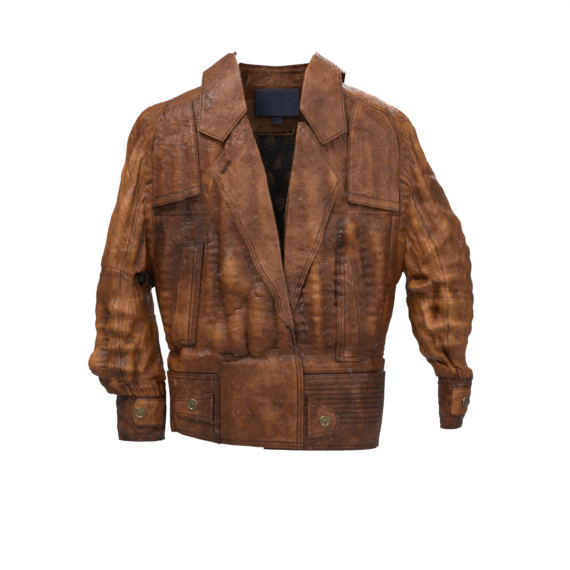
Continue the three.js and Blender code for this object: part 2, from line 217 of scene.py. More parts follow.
def waves(points: Array, size: float, seed: int) -> Array:
    """Seeded rolling noise from a few crossed waves.

    Args:
        points: Positions, with three numbers in the last axis.
        size: Typical width of a wave in millimetres.
        seed: Seed of the directions and phases.

    Returns:
        Values from about -1 to 1.
    """
    rng = np.random.default_rng(seed)
    total = np.zeros(points.shape[:-1])
    for _ in range(WAVE_COUNT):
        direction = rng.normal(size=3)
        direction *= 2 * math.pi / size * rng.uniform(0.6, 1.5) / np.linalg.norm(direction)
        warp = rng.normal(size=3) * 2 * math.pi / (size * 2.3) / 1.7
        phase = points @ direction + rng.uniform(0, 6.28)
        total += np.sin(phase + 1.3 * np.sin(points @ warp + rng.uniform(0, 6.28)))
    return total / math.sqrt(WAVE_COUNT) * 0.8


@dataclass(frozen=True)
class Fold:
    """A soft ridge (or, with a negative height, a valley) along a curve of three points."""

    start: tuple[float, float]
    middle: tuple[float, float]
    end: tuple[float, float]
    width: float = 9.0
    height: float = 5.0

    def lift(self, a: Array, b: Array) -> Array:
        """How far the fold raises the leather.

        Args:
            a: First surface coordinate in millimetres.
            b: Second surface coordinate in millimetres.

        Returns:
            The lift at each place.
        """
        best = np.full(a.shape, 1e9)
        share = np.zeros(a.shape)
        corners = list(zip(self.start, self.middle, self.end))
        for t in np.linspace(0, 1, FOLD_STEPS):
            x, y = ((1 - t) ** 2 * s + 2 * t * (1 - t) * m + t * t * e for s, m, e in corners)
            distance = np.hypot(a - x, b - y)
            share = np.where(distance < best, t, share)
            best = np.minimum(best, distance)
        swell = np.sin(math.pi * np.clip(share, 0.02, 0.98))
        return self.height * bell(best, 0, self.width * (0.55 + 0.9 * swell)) * swell**1.1


class Drape:
    """A tube held as a grid of points, from which lifted points are read anywhere."""

    def __init__(self, points: Array) -> None:
        """Keeps the grid.

        Args:
            points: Grid of positions, rows running down and columns round.
        """
        self.points = points
        self.flat = points.copy()

    @staticmethod
    def normals(points: Array) -> Array:
        """Outward normals of a grid."""
        across = np.roll(points, -1, 1) - np.roll(points, 1, 1)
        return unit(np.cross(np.gradient(points, axis=0), across))

    @staticmethod
    def read(grid: Array, row: Array, column: Array) -> Array:
        """Bilinear values of a grid at fractional rows and columns."""
        rows, columns = grid.shape[:2]
        row, column = np.clip(row, 0, rows - 1.0001), np.mod(column, columns)
        i, k = np.floor(row).astype(int), np.floor(column).astype(int)
        down, across = (row - i)[..., None], (column - k)[..., None]
        k, beside = k % columns, (k + 1) % columns
        upper = grid[i, k] * (1 - across) + grid[i, beside] * across
        lower = grid[i + 1, k] * (1 - across) + grid[i + 1, beside] * across
        return upper * (1 - down) + lower * down

    def place(self, row: Array, column: Array, lift: Array, follow: float = 1.0) -> Array:
        """Points lifted off the drape.

        Args:
            row: Fractional grid rows.
            column: Fractional grid columns.
            lift: Distance off the surface in millimetres.
            follow: How far the layer follows the folds, from 0 to 1.

        Returns:
            The positions.
        """
        grid = self.flat + (self.points - self.flat) * follow
        return self.read(grid, row, column) + self.read(self.normals(grid), row, column) * lift[..., None]

    def crumple(self, pinned: Array, growth: float, limit: float, seed: int) -> None:
        """Lets the leather buckle: a cloth a little too big for its pins is simulated and read back.

        Args:
            pinned: Weight from 0 to 1 at each grid point, 1 where the cloth is sewn down.
            growth: Share by which the cloth is larger than the space it has.
            limit: The furthest that a point may move, in millimetres.
            seed: Seed of the small unevenness that starts the buckles.
        """
        rows, columns = self.points.shape[:2]
        start = self.points + self.normals(self.points) * (waves(self.points, 70, seed)[..., None] * 0.8)
        mesh = bpy.data.meshes.new("drape")
        index = numbered(rows, columns)
        faces = quads(index, np.roll(index, -1, 1)).tolist()
        mesh.from_pydata((start.reshape(-1, 3) * MM).tolist(), [], faces)
        cloth = bpy.data.objects.new("drape", mesh)
        bpy.context.scene.collection.objects.link(cloth)
        group = cloth.vertex_groups.new(name="sewn")
        for index, weight in enumerate(pinned.reshape(-1)):
            if weight > 0.01:
                group.add([index], float(weight), "REPLACE")
        modifier = cloth.modifiers.new("drape", "CLOTH")
        settings = modifier.settings
        settings.quality = 4
        settings.mass = 0.4
        settings.tension_stiffness = settings.compression_stiffness = 20
        settings.shear_stiffness = 12
        settings.bending_stiffness = 0.9
        settings.air_damping = 4
        settings.vertex_group_mass = "sewn"
        settings.pin_stiffness = 4
        settings.shrink_min = -growth
        settings.effector_weights.gravity = 0.15
        scene = bpy.context.scene
        modifier.point_cache.frame_start, modifier.point_cache.frame_end = 1, CLOTH_FRAMES
        for frame in range(1, CLOTH_FRAMES + 1):
            scene.frame_set(frame)
        evaluated = cloth.evaluated_get(bpy.context.evaluated_depsgraph_get())
        moved = np.array([v.co for v in evaluated.data.vertices]).reshape(rows, columns, 3) / MM
        scene.frame_set(1)
        bpy.data.objects.remove(cloth, do_unlink=True)
        bpy.data.meshes.remove(mesh)
        step = moved - self.points
        size = np.linalg.norm(step, axis=-1, keepdims=True)
        self.points = self.points + step / np.maximum(size, 1e-6) * limit * np.tanh(size / limit)

    def height(self) -> Array:
        """How far each grid point stands proud of its smoothed neighbourhood, in millimetres."""
        raised = ((self.points - self.flat) * self.normals(self.flat)).sum(-1)
        blurred = raised.copy()
        for _ in range(14):
            pad = np.pad(blurred, ((1, 1), (0, 0)), mode="edge")
            blurred = (pad[:-2] + pad[2:] + np.roll(blurred, 1, 1) + np.roll(blurred, -1, 1)) / 4
        return raised - blurred


@dataclass
class BodyDrape:
    """The body of the jacket as one tube, read by its front view coordinates."""

    high: float = 10.0
    low: float = -640.0
    rows: int = 200
    columns: int = 300
    ridge: float = 22
    slope: float = 0.42
    rounding: float = 60
    drape: Drape = field(init=False)

    def __post_init__(self) -> None:
        """Lays out the plain tube."""
        z = np.linspace(self.high, self.low, self.rows)[:, None]
        phi = around(self.columns)[None, :]
        self.drape = Drape(self.plain(phi + 0 * z, z + 0 * phi))

    def plain(self, phi: Array, z: Array) -> Array:
        """The unfolded shell at an angle from the front and a height."""
        x = along(HALF_WIDTH, z) * np.sin(phi + SQUARENESS * np.sin(2 * phi))
        across = np.cos(phi - SQUARENESS * np.sin(2 * phi))
        depth = np.where(across > 0, along(FRONT_DEPTH, z), along(BACK_DEPTH, z))
        below = np.clip((self.ridge - self.slope * (np.abs(x) - 60) - z) / self.rounding, 0.0004, 1)
        return np.stack([x, -depth * across * np.sqrt(1 - (1 - below) ** 2), z + 0 * x], -1)

    @staticmethod
    def angle(x: Array, z: Array, behind: bool = False) -> Array:
        """The shell angle seen at x and z from the front, or from behind."""
        seen = np.arcsin(np.clip(x / along(HALF_WIDTH, z), -1, 1))
        phi = seen
        for _ in range(8):
            phi = seen - SQUARENESS * np.sin(2 * phi)
        return math.pi - phi if behind else phi

    def fold(self, folds: Iterable[Fold], behind: Iterable[Fold]) -> None:
        """Raises folds drawn in the front view, and in the view from behind."""
        points = self.drape.points
        front = points[..., 1] < 0
        lift = np.zeros(front.shape)
        for group, mask in ((folds, front), (behind, ~front)):
            for one in group:
                lift += 1.45 * one.lift(points[..., 0], points[..., 2]) * mask
        free = smooth(points[..., 2], -30, -90)
        rolling = 2.0 * waves(points, 120, 3) + 1.4 * waves(points * [1, 1, 0.45], 46, 4)
        lift += (rolling + 0.5 * waves(points * [1, 1, 0.6], 19, 6)) * free
        self.drape.points = points + self.drape.normals(points) * lift[..., None]

    def relax(self) -> None:
        """Buckles the body leather between the yoke and the waistband."""
        z = self.drape.points[..., 2]
        free = smooth(z, -60, -150) * (1 - smooth(z, WAIST_Z + 26, WAIST_Z - 2))
        pinned = 1 - 0.985 * free
        self.drape.crumple(pinned, growth=0.032, limit=6.0, seed=11)

    def cell(self, phi: Array, z: Array) -> tuple[Array, Array]:
        """The grid rows and columns at shell angles and heights."""
        row = (self.high - z) / (self.high - self.low) * (self.rows - 1)
        return row, phi / (2 * math.pi) * self.columns

    def place(self, phi: Array, z: Array, lift: Array) -> Array:
        """Points lifted off the body at shell angles and heights."""
        return self.drape.place(*self.cell(phi, z), lift)

    def wear(self, phi: Array, z: Array) -> Array:
        """The height of the folds at shell angles and heights, used as painted shade in the creases and
        painted highlight on the crests.
        """
        return self.drape.read(self.heights, *self.cell(phi, z))[..., 0]

    @cached_property
    def heights(self) -> Array:
        """The fold heights, worked out once the folds are in place."""
        return self.drape.height()[..., None]


@dataclass(frozen=True)
class Ring:
    """An oval section of a sleeve: outer and inner points in the front view, and half depth."""

    outer: tuple[float, float]
    inner: tuple[float, float]
    depth: float
    sag: float = 0.0

    def points(self, turn: Array) -> Array:
        """The oval at turns that run outer, front, inner, back."""
        squarer = turn + 0.1 * np.sin(2 * turn)
        middle = (np.array(self.outer) + np.array(self.inner)) / 2
        reach = (np.array(self.outer) - np.array(self.inner)) / 2
        x = middle[0] + reach[0] * np.cos(squarer)
        z = middle[1] + reach[1] * np.cos(squarer) + self.sag * np.sin(squarer)
        return np.stack([x, -np.sin(squarer) * self.depth, z], -1)


@dataclass
class SleeveDrape:
    """A sleeve as one tube from the armhole to the cuff."""

    side: Side
    rings: list[Ring]
    body: BodyDrape
    rows: int = 190
    columns: int = 132
    drape: Drape = field(init=False)

    def __post_init__(self) -> None:
        """Lofts the tube through its rings."""
        turn = around(self.columns)
        stack = padded(np.array([self.armhole(turn), *(ring.points(turn) for ring in self.rings)]))
        spans = np.linalg.norm(np.diff(stack[1:-1], axis=0), axis=-1)[:, : self.columns // 2].mean(1)
        self.marks = np.concatenate([[0], np.cumsum(spans)]) / spans.sum()
        shares = np.linspace(0, 1, self.rows)
        i = np.clip(np.searchsorted(self.marks, shares, side="right") - 1, 0, len(self.marks) - 2)
        t = ((shares - self.marks[i]) / (self.marks[i + 1] - self.marks[i]))[:, None, None]
        grid = spline(stack, i, t)
        self.drape = Drape(grid if self.side is Side.RIGHT else grid[:, ::-1])

    def armhole(self, turn: Array) -> Array:
        """The ring on which the sleeve meets the body."""
        z = (ARMHOLE_TOP_Z + ARMHOLE_LOW_Z) / 2 + (ARMHOLE_TOP_Z - ARMHOLE_LOW_Z) / 2 * np.cos(turn)
        x = self.side.value * along(ARMHOLE, z)
        front = self.body.place(self.body.angle(x, z), z, 0 * z)
        back = self.body.place(self.body.angle(x, z, True), z, 0 * z)
        return np.where((np.sin(turn) > 0)[:, None], front, back)

    def turn(self, column: Array) -> Array:
        """The turn at a grid column, counted outer, front, inner, back."""
        share = column / self.columns
        return 2 * math.pi * (share if self.side is Side.RIGHT else 1 - 1 / self.columns - share)

    def column(self, turn: Array) -> Array:
        """The grid column at a turn."""
        share = turn / (2 * math.pi)
        return self.columns * (share if self.side is Side.RIGHT else 1 - 1 / self.columns - share)

    def row(self, share: Array) -> Array:
        """The grid row at a share of the length."""
        return np.asarray(share) * (self.rows - 1)

    def fold(self, folds: Iterable[Fold]) -> None:
        """Raises folds drawn with the turn in degrees and the length in millimetres."""
        column = np.arange(self.columns)[None, :]
        share = np.linspace(0, 1, self.rows)[:, None]
        degrees = np.degrees(self.turn(column)) + 0 * share
        length = SLEEVE_LENGTH * share + 0 * column
        lift = np.zeros((self.rows, self.columns))
        for one in folds:
            for wrap in (-360, 0, 360):
                lift += 1.8 * one.lift(degrees + wrap, length)
        points = self.drape.points
        free = smooth(share, 0.02, 0.16) * (1 - smooth(share, 0.95, 1.0))
        s = self.side.value
        rolling = 3.0 * waves(points, 90, 5 + s) + 2.0 * waves(points * [1, 1, 1.5], 42, 8 + s)
        lift += (rolling + 0.7 * waves(points, 18, 12 + s)) * free
        self.drape.points = points + self.drape.normals(points) * lift[..., None]

    def relax(self) -> None:
        """Buckles the sleeve leather between the armhole and the cuff."""
        share = np.linspace(0, 1, self.rows)[:, None] + np.zeros((1, self.columns))
        free = smooth(share, 0.0, 0.14) * (1 - smooth(share, 0.93, 1.0))
        self.drape.crumple(1 - 0.99 * free, growth=0.05, limit=8.0, seed=21 + self.side.value)
        reach = self.drape.points[..., 0] * self.side.value
        beside_body = (share > 0.06) & (self.drape.points[..., 2] > -395)
        reach = np.where(beside_body, np.maximum(reach, ARM_CLEARANCE), reach)
        self.drape.points[..., 0] = self.side.value * reach


# ---- Finishes ---------------------------------------------------------------------------------


class Nodes:
    """A short hand for building one material's node tree."""

    def __init__(self, name: str) -> None:
        """Starts a material with a single surface shader."""
        self.material = bpy.data.materials.new(name)
        self.material.use_nodes = True
        self.tree = self.material.node_tree
        self.shader = next(n for n in self.tree.nodes if n.type == "BSDF_PRINCIPLED")
        self.place = self.add("ShaderNodeTexCoord").outputs["Object"]

    def add(self, kind: str, **values: object) -> bpy.types.Node:
        """Adds a node; values set its properties or, by socket name, its inputs."""
        node = self.tree.nodes.new(kind)
        for key, value in values.items():
            if hasattr(node, key):
                setattr(node, key, value)
            else:
                node.inputs[key.replace("_", " ")].default_value = value
        return node

    def link(self, source: bpy.types.NodeSocket, target: bpy.types.NodeSocket) -> None:
        """Links two sockets."""
        self.tree.links.new(source, target)

    def noise(self, scale: float, detail: float = 4, distortion: float = 0.0) -> bpy.types.NodeSocket:
        """Noise over the object's own space."""
        node = self.add("ShaderNodeTexNoise", Scale=scale, Detail=detail, Distortion=distortion)
        self.link(self.place, node.inputs["Vector"])
        return node.outputs["Fac"]

    def stretched(self, scale: tuple[float, float, float]) -> bpy.types.NodeSocket:
        """Noise drawn out along one axis, for the fine creases of hanging leather."""
        mapping = self.add("ShaderNodeMapping")
        mapping.inputs["Scale"].default_value = scale
        self.link(self.place, mapping.inputs["Vector"])
        node = self.add("ShaderNodeTexNoise", Scale=1.0, Detail=5.0, Distortion=1.4)
        self.link(mapping.outputs["Vector"], node.inputs["Vector"])
        return node.outputs["Fac"]

    def cells(self, scale: float, feature: str = "F1") -> bpy.types.NodeSocket:
        """Distance inside Voronoi cells over the object's own space."""
        node = self.add("ShaderNodeTexVoronoi", feature=feature, Scale=scale)
        self.link(self.place, node.inputs["Vector"])
        return node.outputs["Distance"]

    def math(self, operation: str, first: object, second: object = 0.0,
             third: object = 0.0) -> bpy.types.NodeSocket:
        """A sum on sockets or numbers."""
        node = self.add("ShaderNodeMath", operation=operation)
        for socket, value in zip(node.inputs, (first, second, third)):
            if isinstance(value, bpy.types.NodeSocket):
                self.link(value, socket)
            else:
                socket.default_value = value
        return node.outputs[0]

    def ramp(self, factor: bpy.types.NodeSocket, stops: list[tuple[float, Colour]]) -> bpy.types.NodeSocket:
        """A colour ramp."""
        node = self.add("ShaderNodeValToRGB")
        elements = node.color_ramp.elements
        while len(elements) < len(stops):
            elements.new(0.5)
        for element, (at, colour) in zip(elements, stops):
            element.position = at
            element.color = (*colour, 1)
        self.link(factor, node.inputs["Fac"])
        return node.outputs["Color"]

    def bump(self, layers: list[tuple[bpy.types.NodeSocket, float, float]]) -> None:
        """Stacks bump layers of height, strength and distance on the shader."""
        previous = None
        for height, strength, distance in layers:
            node = self.add("ShaderNodeBump", Strength=strength, Distance=distance)
            self.link(height, node.inputs["Height"])
            if previous is not None:
                self.link(previous, node.inputs["Normal"])
            previous = node.outputs["Normal"]
        self.link(previous, self.shader.inputs["Normal"])

    def attribute(self, name: str) -> bpy.types.NodeSocket:
        """A value stored on the mesh's points."""
        return self.add("ShaderNodeAttribute", attribute_name=name).outputs["Fac"]


@dataclass(frozen=True)
class LeatherFinish:
    """Worn aniline leather with a fine grain, its colour carrying painted shade in the valleys, grooves and
    edges and painted highlights on the crests.
    """

    name: str
    deep: Colour
    middle: Colour
    pale: Colour
    bias: float = 0.0
    rough: float = 0.44

    def build(self) -> bpy.types.Material:
        """Makes the material."""
        n = Nodes(self.name)
        # Per-vertex paleness: painted shade in creases, grooves, tucks and along edges, and painted
        # highlights on crests and beside grooves.
        wear = n.attribute("wear")
        clouds = n.math("SUBTRACT", n.noise(8.0, 5, 0.8), 0.5)
        patches = n.math("SUBTRACT", n.noise(31.0, 6, 1.2), 0.5)
        specks = n.math("SUBTRACT", n.noise(170.0, 4, 0.4), 0.5)
        tone = n.math("MULTIPLY_ADD", clouds, 1.25, 0.46 + self.bias)
        tone = n.math("MULTIPLY_ADD", patches, 0.75, tone)
        tone = n.math("MULTIPLY_ADD", specks, 0.32, tone)
        tone = n.math("MULTIPLY_ADD", wear, 0.5, tone)
        colour = n.ramp(tone, [(0.0, self.deep), (0.5, self.middle), (1.0, self.pale)])
        fine = n.math("GREATER_THAN", n.noise(58.0, 8, 2.5), 0.66)
        scuffs = n.math("MULTIPLY", fine, n.math("GREATER_THAN", n.noise(10.0, 2), 0.5))
        mix = n.add("ShaderNodeMix", data_type="RGBA")
        n.link(n.math("MULTIPLY", scuffs, 0.34), mix.inputs["Factor"])
        n.link(colour, mix.inputs["A"])
        mix.inputs["B"].default_value = (0.33, 0.235, 0.21, 1)
        n.link(mix.outputs["Result"], n.shader.inputs["Base Color"])
        rough = n.math("MULTIPLY_ADD", patches, 0.5, self.rough)
        n.link(n.math("MULTIPLY_ADD", specks, 0.3, rough), n.shader.inputs["Roughness"])
        n.shader.inputs["Specular IOR Level"].default_value = 0.34
        n.bump([
            (n.cells(70.0, "DISTANCE_TO_EDGE"), 0.3, 0.0018),
            (n.noise(110.0, 6, 1.8), 0.55, 0.002),
            (n.cells(760.0), 0.25, 0.0004),
            (n.noise(24.0, 6, 2.6), 0.5, 0.006),
            (n.stretched((95.0, 95.0, 17.0)), 0.5, 0.004),
        ])
        return n.material


@dataclass(frozen=True)
class ClothFinish:
    """A woven cloth with a fine rib and a little sheen."""

    name: str
    dark: Colour
    light: Colour
    rough: float = 0.6
    thread: float = 1500.0

    def build(self) -> bpy.types.Material:
        """Makes the material."""
        n = Nodes(self.name)
        tone = n.math("MULTIPLY_ADD", n.math("SUBTRACT", n.noise(60.0, 5), 0.5), 1.4, 0.5)
        n.link(n.ramp(tone, [(0.0, self.dark), (1.0, self.light)]), n.shader.inputs["Base Color"])
        n.link(n.math("MULTIPLY_ADD", n.noise(90.0), 0.25, self.rough - 0.12), n.shader.inputs["Roughness"])
        n.shader.inputs["Specular IOR Level"].default_value = 0.2
        wave = n.add("ShaderNodeTexWave", bands_direction="DIAGONAL", Scale=self.thread, Distortion=0.4)
        n.link(n.place, wave.inputs["Vector"])
        n.bump([(wave.outputs["Fac"], 0.3, 0.0003), (n.noise(45.0, 5, 0.8), 0.35, 0.002)])
        return n.material


@dataclass(frozen=True)
class MetalFinish:
    """Antiqued metal: tarnish in the hollows and rubbed edges."""

    name: str
    dark: Colour
    bright: Colour

    def build(self) -> bpy.types.Material:
        """Makes the material."""
        n = Nodes(self.name)
        tone = n.math("MULTIPLY_ADD", n.math("SUBTRACT", n.noise(420.0, 6), 0.5), 1.6, 0.45)
        tone = n.math("MULTIPLY_ADD", n.attribute("wear"), 0.6, tone)
        n.link(n.ramp(tone, [(0.0, self.dark), (1.0, self.bright)]), n.shader.inputs["Base Color"])
        n.link(n.math("MULTIPLY_ADD", n.noise(300.0), 0.3, 0.26), n.shader.inputs["Roughness"])
        n.shader.inputs["Metallic"].default_value = 0.9
        n.bump([(n.cells(1400.0), 0.3, 0.0002), (n.noise(700.0), 0.3, 0.0002)])
        return n.material


@dataclass(frozen=True)
class PlainFinish:
    """Thread and wadding: one colour with a slight unevenness."""

    name: str
    colour: Colour
    rough: float = 0.8
    scale: float = 300.0

    def build(self) -> bpy.types.Material:
        """Makes the material."""
        n = Nodes(self.name)
        darker = tuple(c * 0.78 for c in self.colour)
        n.link(n.ramp(n.noise(self.scale, 3), [(0.3, darker), (0.7, self.colour)]),
               n.shader.inputs["Base Color"])
        n.link(n.math("MULTIPLY_ADD", n.noise(self.scale * 0.6), 0.1, self.rough - 0.05),
               n.shader.inputs["Roughness"])
        n.bump([(n.noise(self.scale * 3), 0.2, 0.0004)])
        return n.material


@dataclass(frozen=True)
class PaperFinish:
    """The studio's seamless white paper, which looks evenly lit but hardly lights the jacket."""

    name: str
    glow: float = 0.93
    spill: float = 0.1

    def build(self) -> bpy.types.Material:
        """Makes the material."""
        n = Nodes(self.name)
        n.shader.inputs["Base Color"].default_value = (0.35, 0.35, 0.35, 1)
        n.shader.inputs["Roughness"].default_value = 1.0
        n.shader.inputs["Emission Color"].default_value = (1, 1, 1, 1)
        seen = n.add("ShaderNodeLightPath").outputs["Is Camera Ray"]
        glow = n.math("MULTIPLY_ADD", seen, self.glow - self.spill, self.spill)
        n.link(glow, n.shader.inputs["Emission Strength"])
        return n.material


FINISHES = (
    LeatherFinish("body_leather", (0.024, 0.0060, 0.0016), (0.120, 0.0310, 0.0056), (0.335, 0.112, 0.028)),
    LeatherFinish("sleeve_leather", (0.036, 0.0090, 0.0022), (0.170, 0.0480, 0.0090), (0.390, 0.140, 0.036),
                  0.03, 0.44),
    LeatherFinish("collar_leather", (0.036, 0.0100, 0.0038), (0.150, 0.0460, 0.0145), (0.345, 0.138, 0.055),
                  0.04),
    LeatherFinish("trim_leather", (0.028, 0.0070, 0.0022), (0.130, 0.0350, 0.0085), (0.330, 0.115, 0.034)),
    LeatherFinish("band_leather", (0.020, 0.0055, 0.0022), (0.098, 0.0265, 0.0085), (0.260, 0.090, 0.032),
                  -0.03, 0.4),
    LeatherFinish("facing_leather", (0.10, 0.034, 0.011), (0.24, 0.085, 0.028), (0.36, 0.145, 0.055), 0.05,
                  0.5),
    ClothFinish("lining", (0.012, 0.0095, 0.010), (0.034, 0.027, 0.026), 0.52),
    ClothFinish("paisley", (0.26, 0.13, 0.065), (0.48, 0.27, 0.15), 0.55, 2200.0),
    ClothFinish("label_weave", (0.006, 0.009, 0.022), (0.014, 0.020, 0.042), 0.6, 2600.0),
    PlainFinish("padding", (0.55, 0.50, 0.41), 0.95, 160.0),
    PlainFinish("thread", (0.085, 0.030, 0.011), 0.6, 500.0),
    MetalFinish("snap_metal", (0.030, 0.021, 0.011), (0.24, 0.175, 0.095)),
    PaperFinish("paper"),
)
SLOTS = {"facing_leather": "body_leather", "paisley": "lining", "thread": "trim_leather"}


# ---- Panels -----------------------------------------------------------------------------------


@dataclass(frozen=True)
class Bend:
    """Two bodies of the frame and two points for a piece that spans them; such a piece only has its transform
    baked.
    """

    first: str
    second: str
    start: Point
    end: Point


@dataclass
class Panel:
    """A sewn panel: two edges with as many corners, laid on a drape, with its rows of stitches.

    It stands for the frame's node of its own name unless others are given.
    """

    name: str
    first: Corners
    second: Corners
    body: str
    finish: str
    replaces: tuple[str, ...] | None = None
    lift: float = 0.0
    thick: float = LEATHER
    behind: bool = False
    polar: bool = False
    curved: bool = False
    pitch: float = 4.0
    rows: dict[Edge, tuple[float, ...]] = field(default_factory=dict)
    rise: Callable[[Array], Array] = lambda x: 0 * x
    shell: BodyDrape | None = None
    tone: float = 0.0
    roll: float = 0.0
    puff: float = 0.0
    bend: Bend | None = None
    sheet: bool = False
    tucks: tuple[Edge, ...] = ()
    flush: tuple[Edge, ...] = ()
    flare: float = 0.0
    hangs_on: str = ""


class Workshop:
    """Holds the drapes and finishes, and turns panels into finished pieces."""

    def __init__(self, body: BodyDrape, collar: BodyDrape) -> None:
        """Builds every finish once."""
        self.body = body
        self.collar = collar
        self.materials = {finish.name: finish.build() for finish in FINISHES}
        self.threads: dict[tuple[str, str], list[tuple[Array, Array]]] = {}
        self.bends: dict[str, Bend] = {}

    # -- meshes --

    def mesh(self, name: str, points: Array, faces: list[tuple[int, ...]], finish: str,
             wear: Array | None = None) -> bpy.types.Object:
        """Makes a smooth object from points in millimetres.

        Args:
            name: Name of the piece.
            points: Vertices.
            faces: Vertex numbers of each face.
            finish: Name of its finish.
            wear: Paleness of each vertex: painted shade and highlights on leather, tarnish and rubbed wear on
                metal.

        Returns:
            The new object.
        """
        data = bpy.data.meshes.new(name)
        data.from_pydata((np.asarray(points) * MM).tolist(), [], faces)
        data.polygons.foreach_set("use_smooth", [True] * len(faces))
        attribute = data.attributes.new("wear", "FLOAT", "POINT")
        attribute.data.foreach_set("value", np.zeros(len(points), np.float32) if wear is None
                                   else wear.astype(np.float32))
        data.update()
        made = bpy.data.objects.new(f"{name}_skin" if name in bpy.data.objects else name, data)
        bpy.context.scene.collection.objects.link(made)
        data.materials.append(self.materials[finish])
        return made

    def shell_mesh(self, name: str, outer: Array, inner: Array, finish: str, wear: Array,
                   looped: bool = False) -> bpy.types.Object:
        """Makes a closed plate or tube wall from its outer and inner grids."""
        rows, columns = outer.shape[:2]
        index = numbered(rows, columns)
        right = np.roll(index, -1, 1) if looped else index[:, 1:]
        left = index if looped else index[:, :-1]
        front = quads(left, right)
        below = rows * columns
        ends = [(left[0], right[0], False), (left[-1], right[-1], True)]
        if not looped:
            ends += [(index[:-1, 0], index[1:, 0], True), (index[:-1, -1], index[1:, -1], False)]
        rims = []
        for a, b, flip in ends:
            rim = np.stack([a, b, b + below, a + below], -1)
            rims.append(rim[:, ::-1] if flip else rim)
        faces = np.concatenate([front, front[:, ::-1] + below, *rims])
        sample = front[len(front) // 2]
        corner = outer.reshape(-1, 3)[sample]
        facing = np.cross(corner[1] - corner[0], corner[2] - corner[0])
        if facing @ (corner[0] - inner.reshape(-1, 3)[sample[0]]) < 0:
            faces = faces[:, ::-1]
        points = np.concatenate([outer.reshape(-1, 3), inner.reshape(-1, 3)])
        # The inner face is made 0.1 darker than the outer one: painted shade on the underside.
        return self.mesh(name, points, faces.tolist(), finish,
                         np.concatenate([wear.ravel(), wear.ravel() - 0.1]))

    def finish(self, piece: bpy.types.Object, body: str, finish: str, replaces: tuple[str, ...] = (),
               bend: Bend | None = None) -> bpy.types.Object:
        """Fixes a piece to its body, or for a piece with a bend only bakes its transform, and hides the
        frame's parts that it replaces.
        """
        if bend:
            tuple(v * MM for v in bend.start)
            tuple(v * MM for v in bend.end)
            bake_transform(piece)
        else:
            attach(piece, body)
        if replaces:
            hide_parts(*replaces)
        SLOTS.get(finish, finish)
        LOG.info("%s on %s, %d faces", piece.name, body if not bend else "a bend", len(piece.data.polygons))
        return piece

    def degrees(self, x: float, z: float) -> float:
        """The shell angle in degrees at one front view point."""
        return math.degrees(self.body.angle(np.array(x), np.array(z)))

    # -- panels --

    @staticmethod
    def stations(length: float, pitch: float, marks: Iterable[float]) -> Array:
        """Shares of a length to sample: even steps, with extra ones at the edges and at marks."""
        wanted = set(np.linspace(0, 1, max(3, round(length / pitch) + 1)))
        for mark in (0.6, 1.6, *marks):
            for shift in (-1.0, 0.0, 1.0):
                if 0 < mark + shift < length / 2:
                    wanted.add((mark + shift) / length)
                    wanted.add(1 - (mark + shift) / length)
        ordered = sorted(wanted)
        kept = [ordered[0]]
        for value in ordered[1:]:
            if (value - kept[-1]) * length > 0.45:
                kept.append(value)
        kept[-1] = 1.0
        return np.array(kept)

    @staticmethod
    def edge_line(corners: Corners, steps: Array, curved: bool) -> Array:
        """Points along an edge at fractional corner numbers."""
        points = np.array(corners, float)
        i = np.clip(np.floor(steps).astype(int), 0, len(points) - 2)
        t = (steps - i)[:, None]
        if not curved:
            return points[i] * (1 - t) + points[i + 1] * t
        return spline(padded(points), i, t)

    def grid(self, panel: Panel) -> tuple[Array, Array]:
        """The two surface coordinates of a panel's grid: shell angles and heights."""
        scale = np.array([2.2 if panel.polar else 1.0, 1.0])
        edges = [np.array(corners, float) for corners in (panel.first, panel.second)]
        spans = np.maximum(*(np.linalg.norm(np.diff(e * scale, axis=0), axis=1) for e in edges))
        marks = {m for values in panel.rows.values() for m in values}
        steps: list[float] = []
        for i, span in enumerate(spans):
            inner = np.linspace(0, 1, max(2, round(span / panel.pitch) + 1))
            extra = {m / span for m in (0.6, 1.6, *marks)} if i == 0 else set()
            last = {1 - m / span for m in (0.6, 1.6, *marks)} if i == len(spans) - 1 else set()
            values = sorted({v for v in (*inner, *extra, *last) if 0 <= v <= 1})
            steps.extend(i + v for v in values if not (v == 0 and i > 0))
        steps_kept = [steps[0]]
        for value in steps[1:]:
            if (value - steps_kept[-1]) * spans[min(int(value), len(spans) - 1)] > 0.4:
                steps_kept.append(value)
        steps_kept[-1] = float(len(spans))
        lines = [self.edge_line(c, np.array(steps_kept), panel.curved) for c in (panel.first, panel.second)]
        width = float(np.linalg.norm((lines[1] - lines[0]) * scale, axis=1).max())
        u = self.stations(width, panel.pitch, marks)[None, :, None]
        cells = lines[0][:, None, :] * (1 - u) + lines[1][:, None, :] * u
        if panel.polar:
            return np.radians(cells[..., 0]), cells[..., 1]
        return self.body.angle(cells[..., 0], cells[..., 1], panel.behind), cells[..., 1]

    @staticmethod
    def edge_distances(points: Array) -> dict[Edge, Array]:
        """Distance of each grid point from the four edges, along the surface."""
        across = np.linalg.norm(np.diff(points, axis=1), axis=-1)
        down = np.linalg.norm(np.diff(points, axis=0), axis=-1)
        u = np.concatenate([np.zeros((points.shape[0], 1)), np.cumsum(across, 1)], 1)
        v = np.concatenate([np.zeros((1, points.shape[1])), np.cumsum(down, 0)], 0)
        return {Edge.FIRST: u, Edge.SECOND: u[:, -1:] - u, Edge.TOP: v, Edge.BOTTOM: v[-1:] - v}

    def lay(self, panel: Panel) -> bpy.types.Object:
        """Makes a panel and its stitches.

        Args:
            panel: What to make.

        Returns:
            The finished piece.
        """
        shell = panel.shell or self.body
        phi, z = self.grid(panel)
        rise = panel.rise(along(HALF_WIDTH, z) * np.sin(phi + SQUARENESS * np.sin(2 * phi)))
        base = shell.place(phi, z, 0 * z + panel.lift + rise)
        far = self.edge_distances(base)
        lift, wear = self.relief(panel, far)
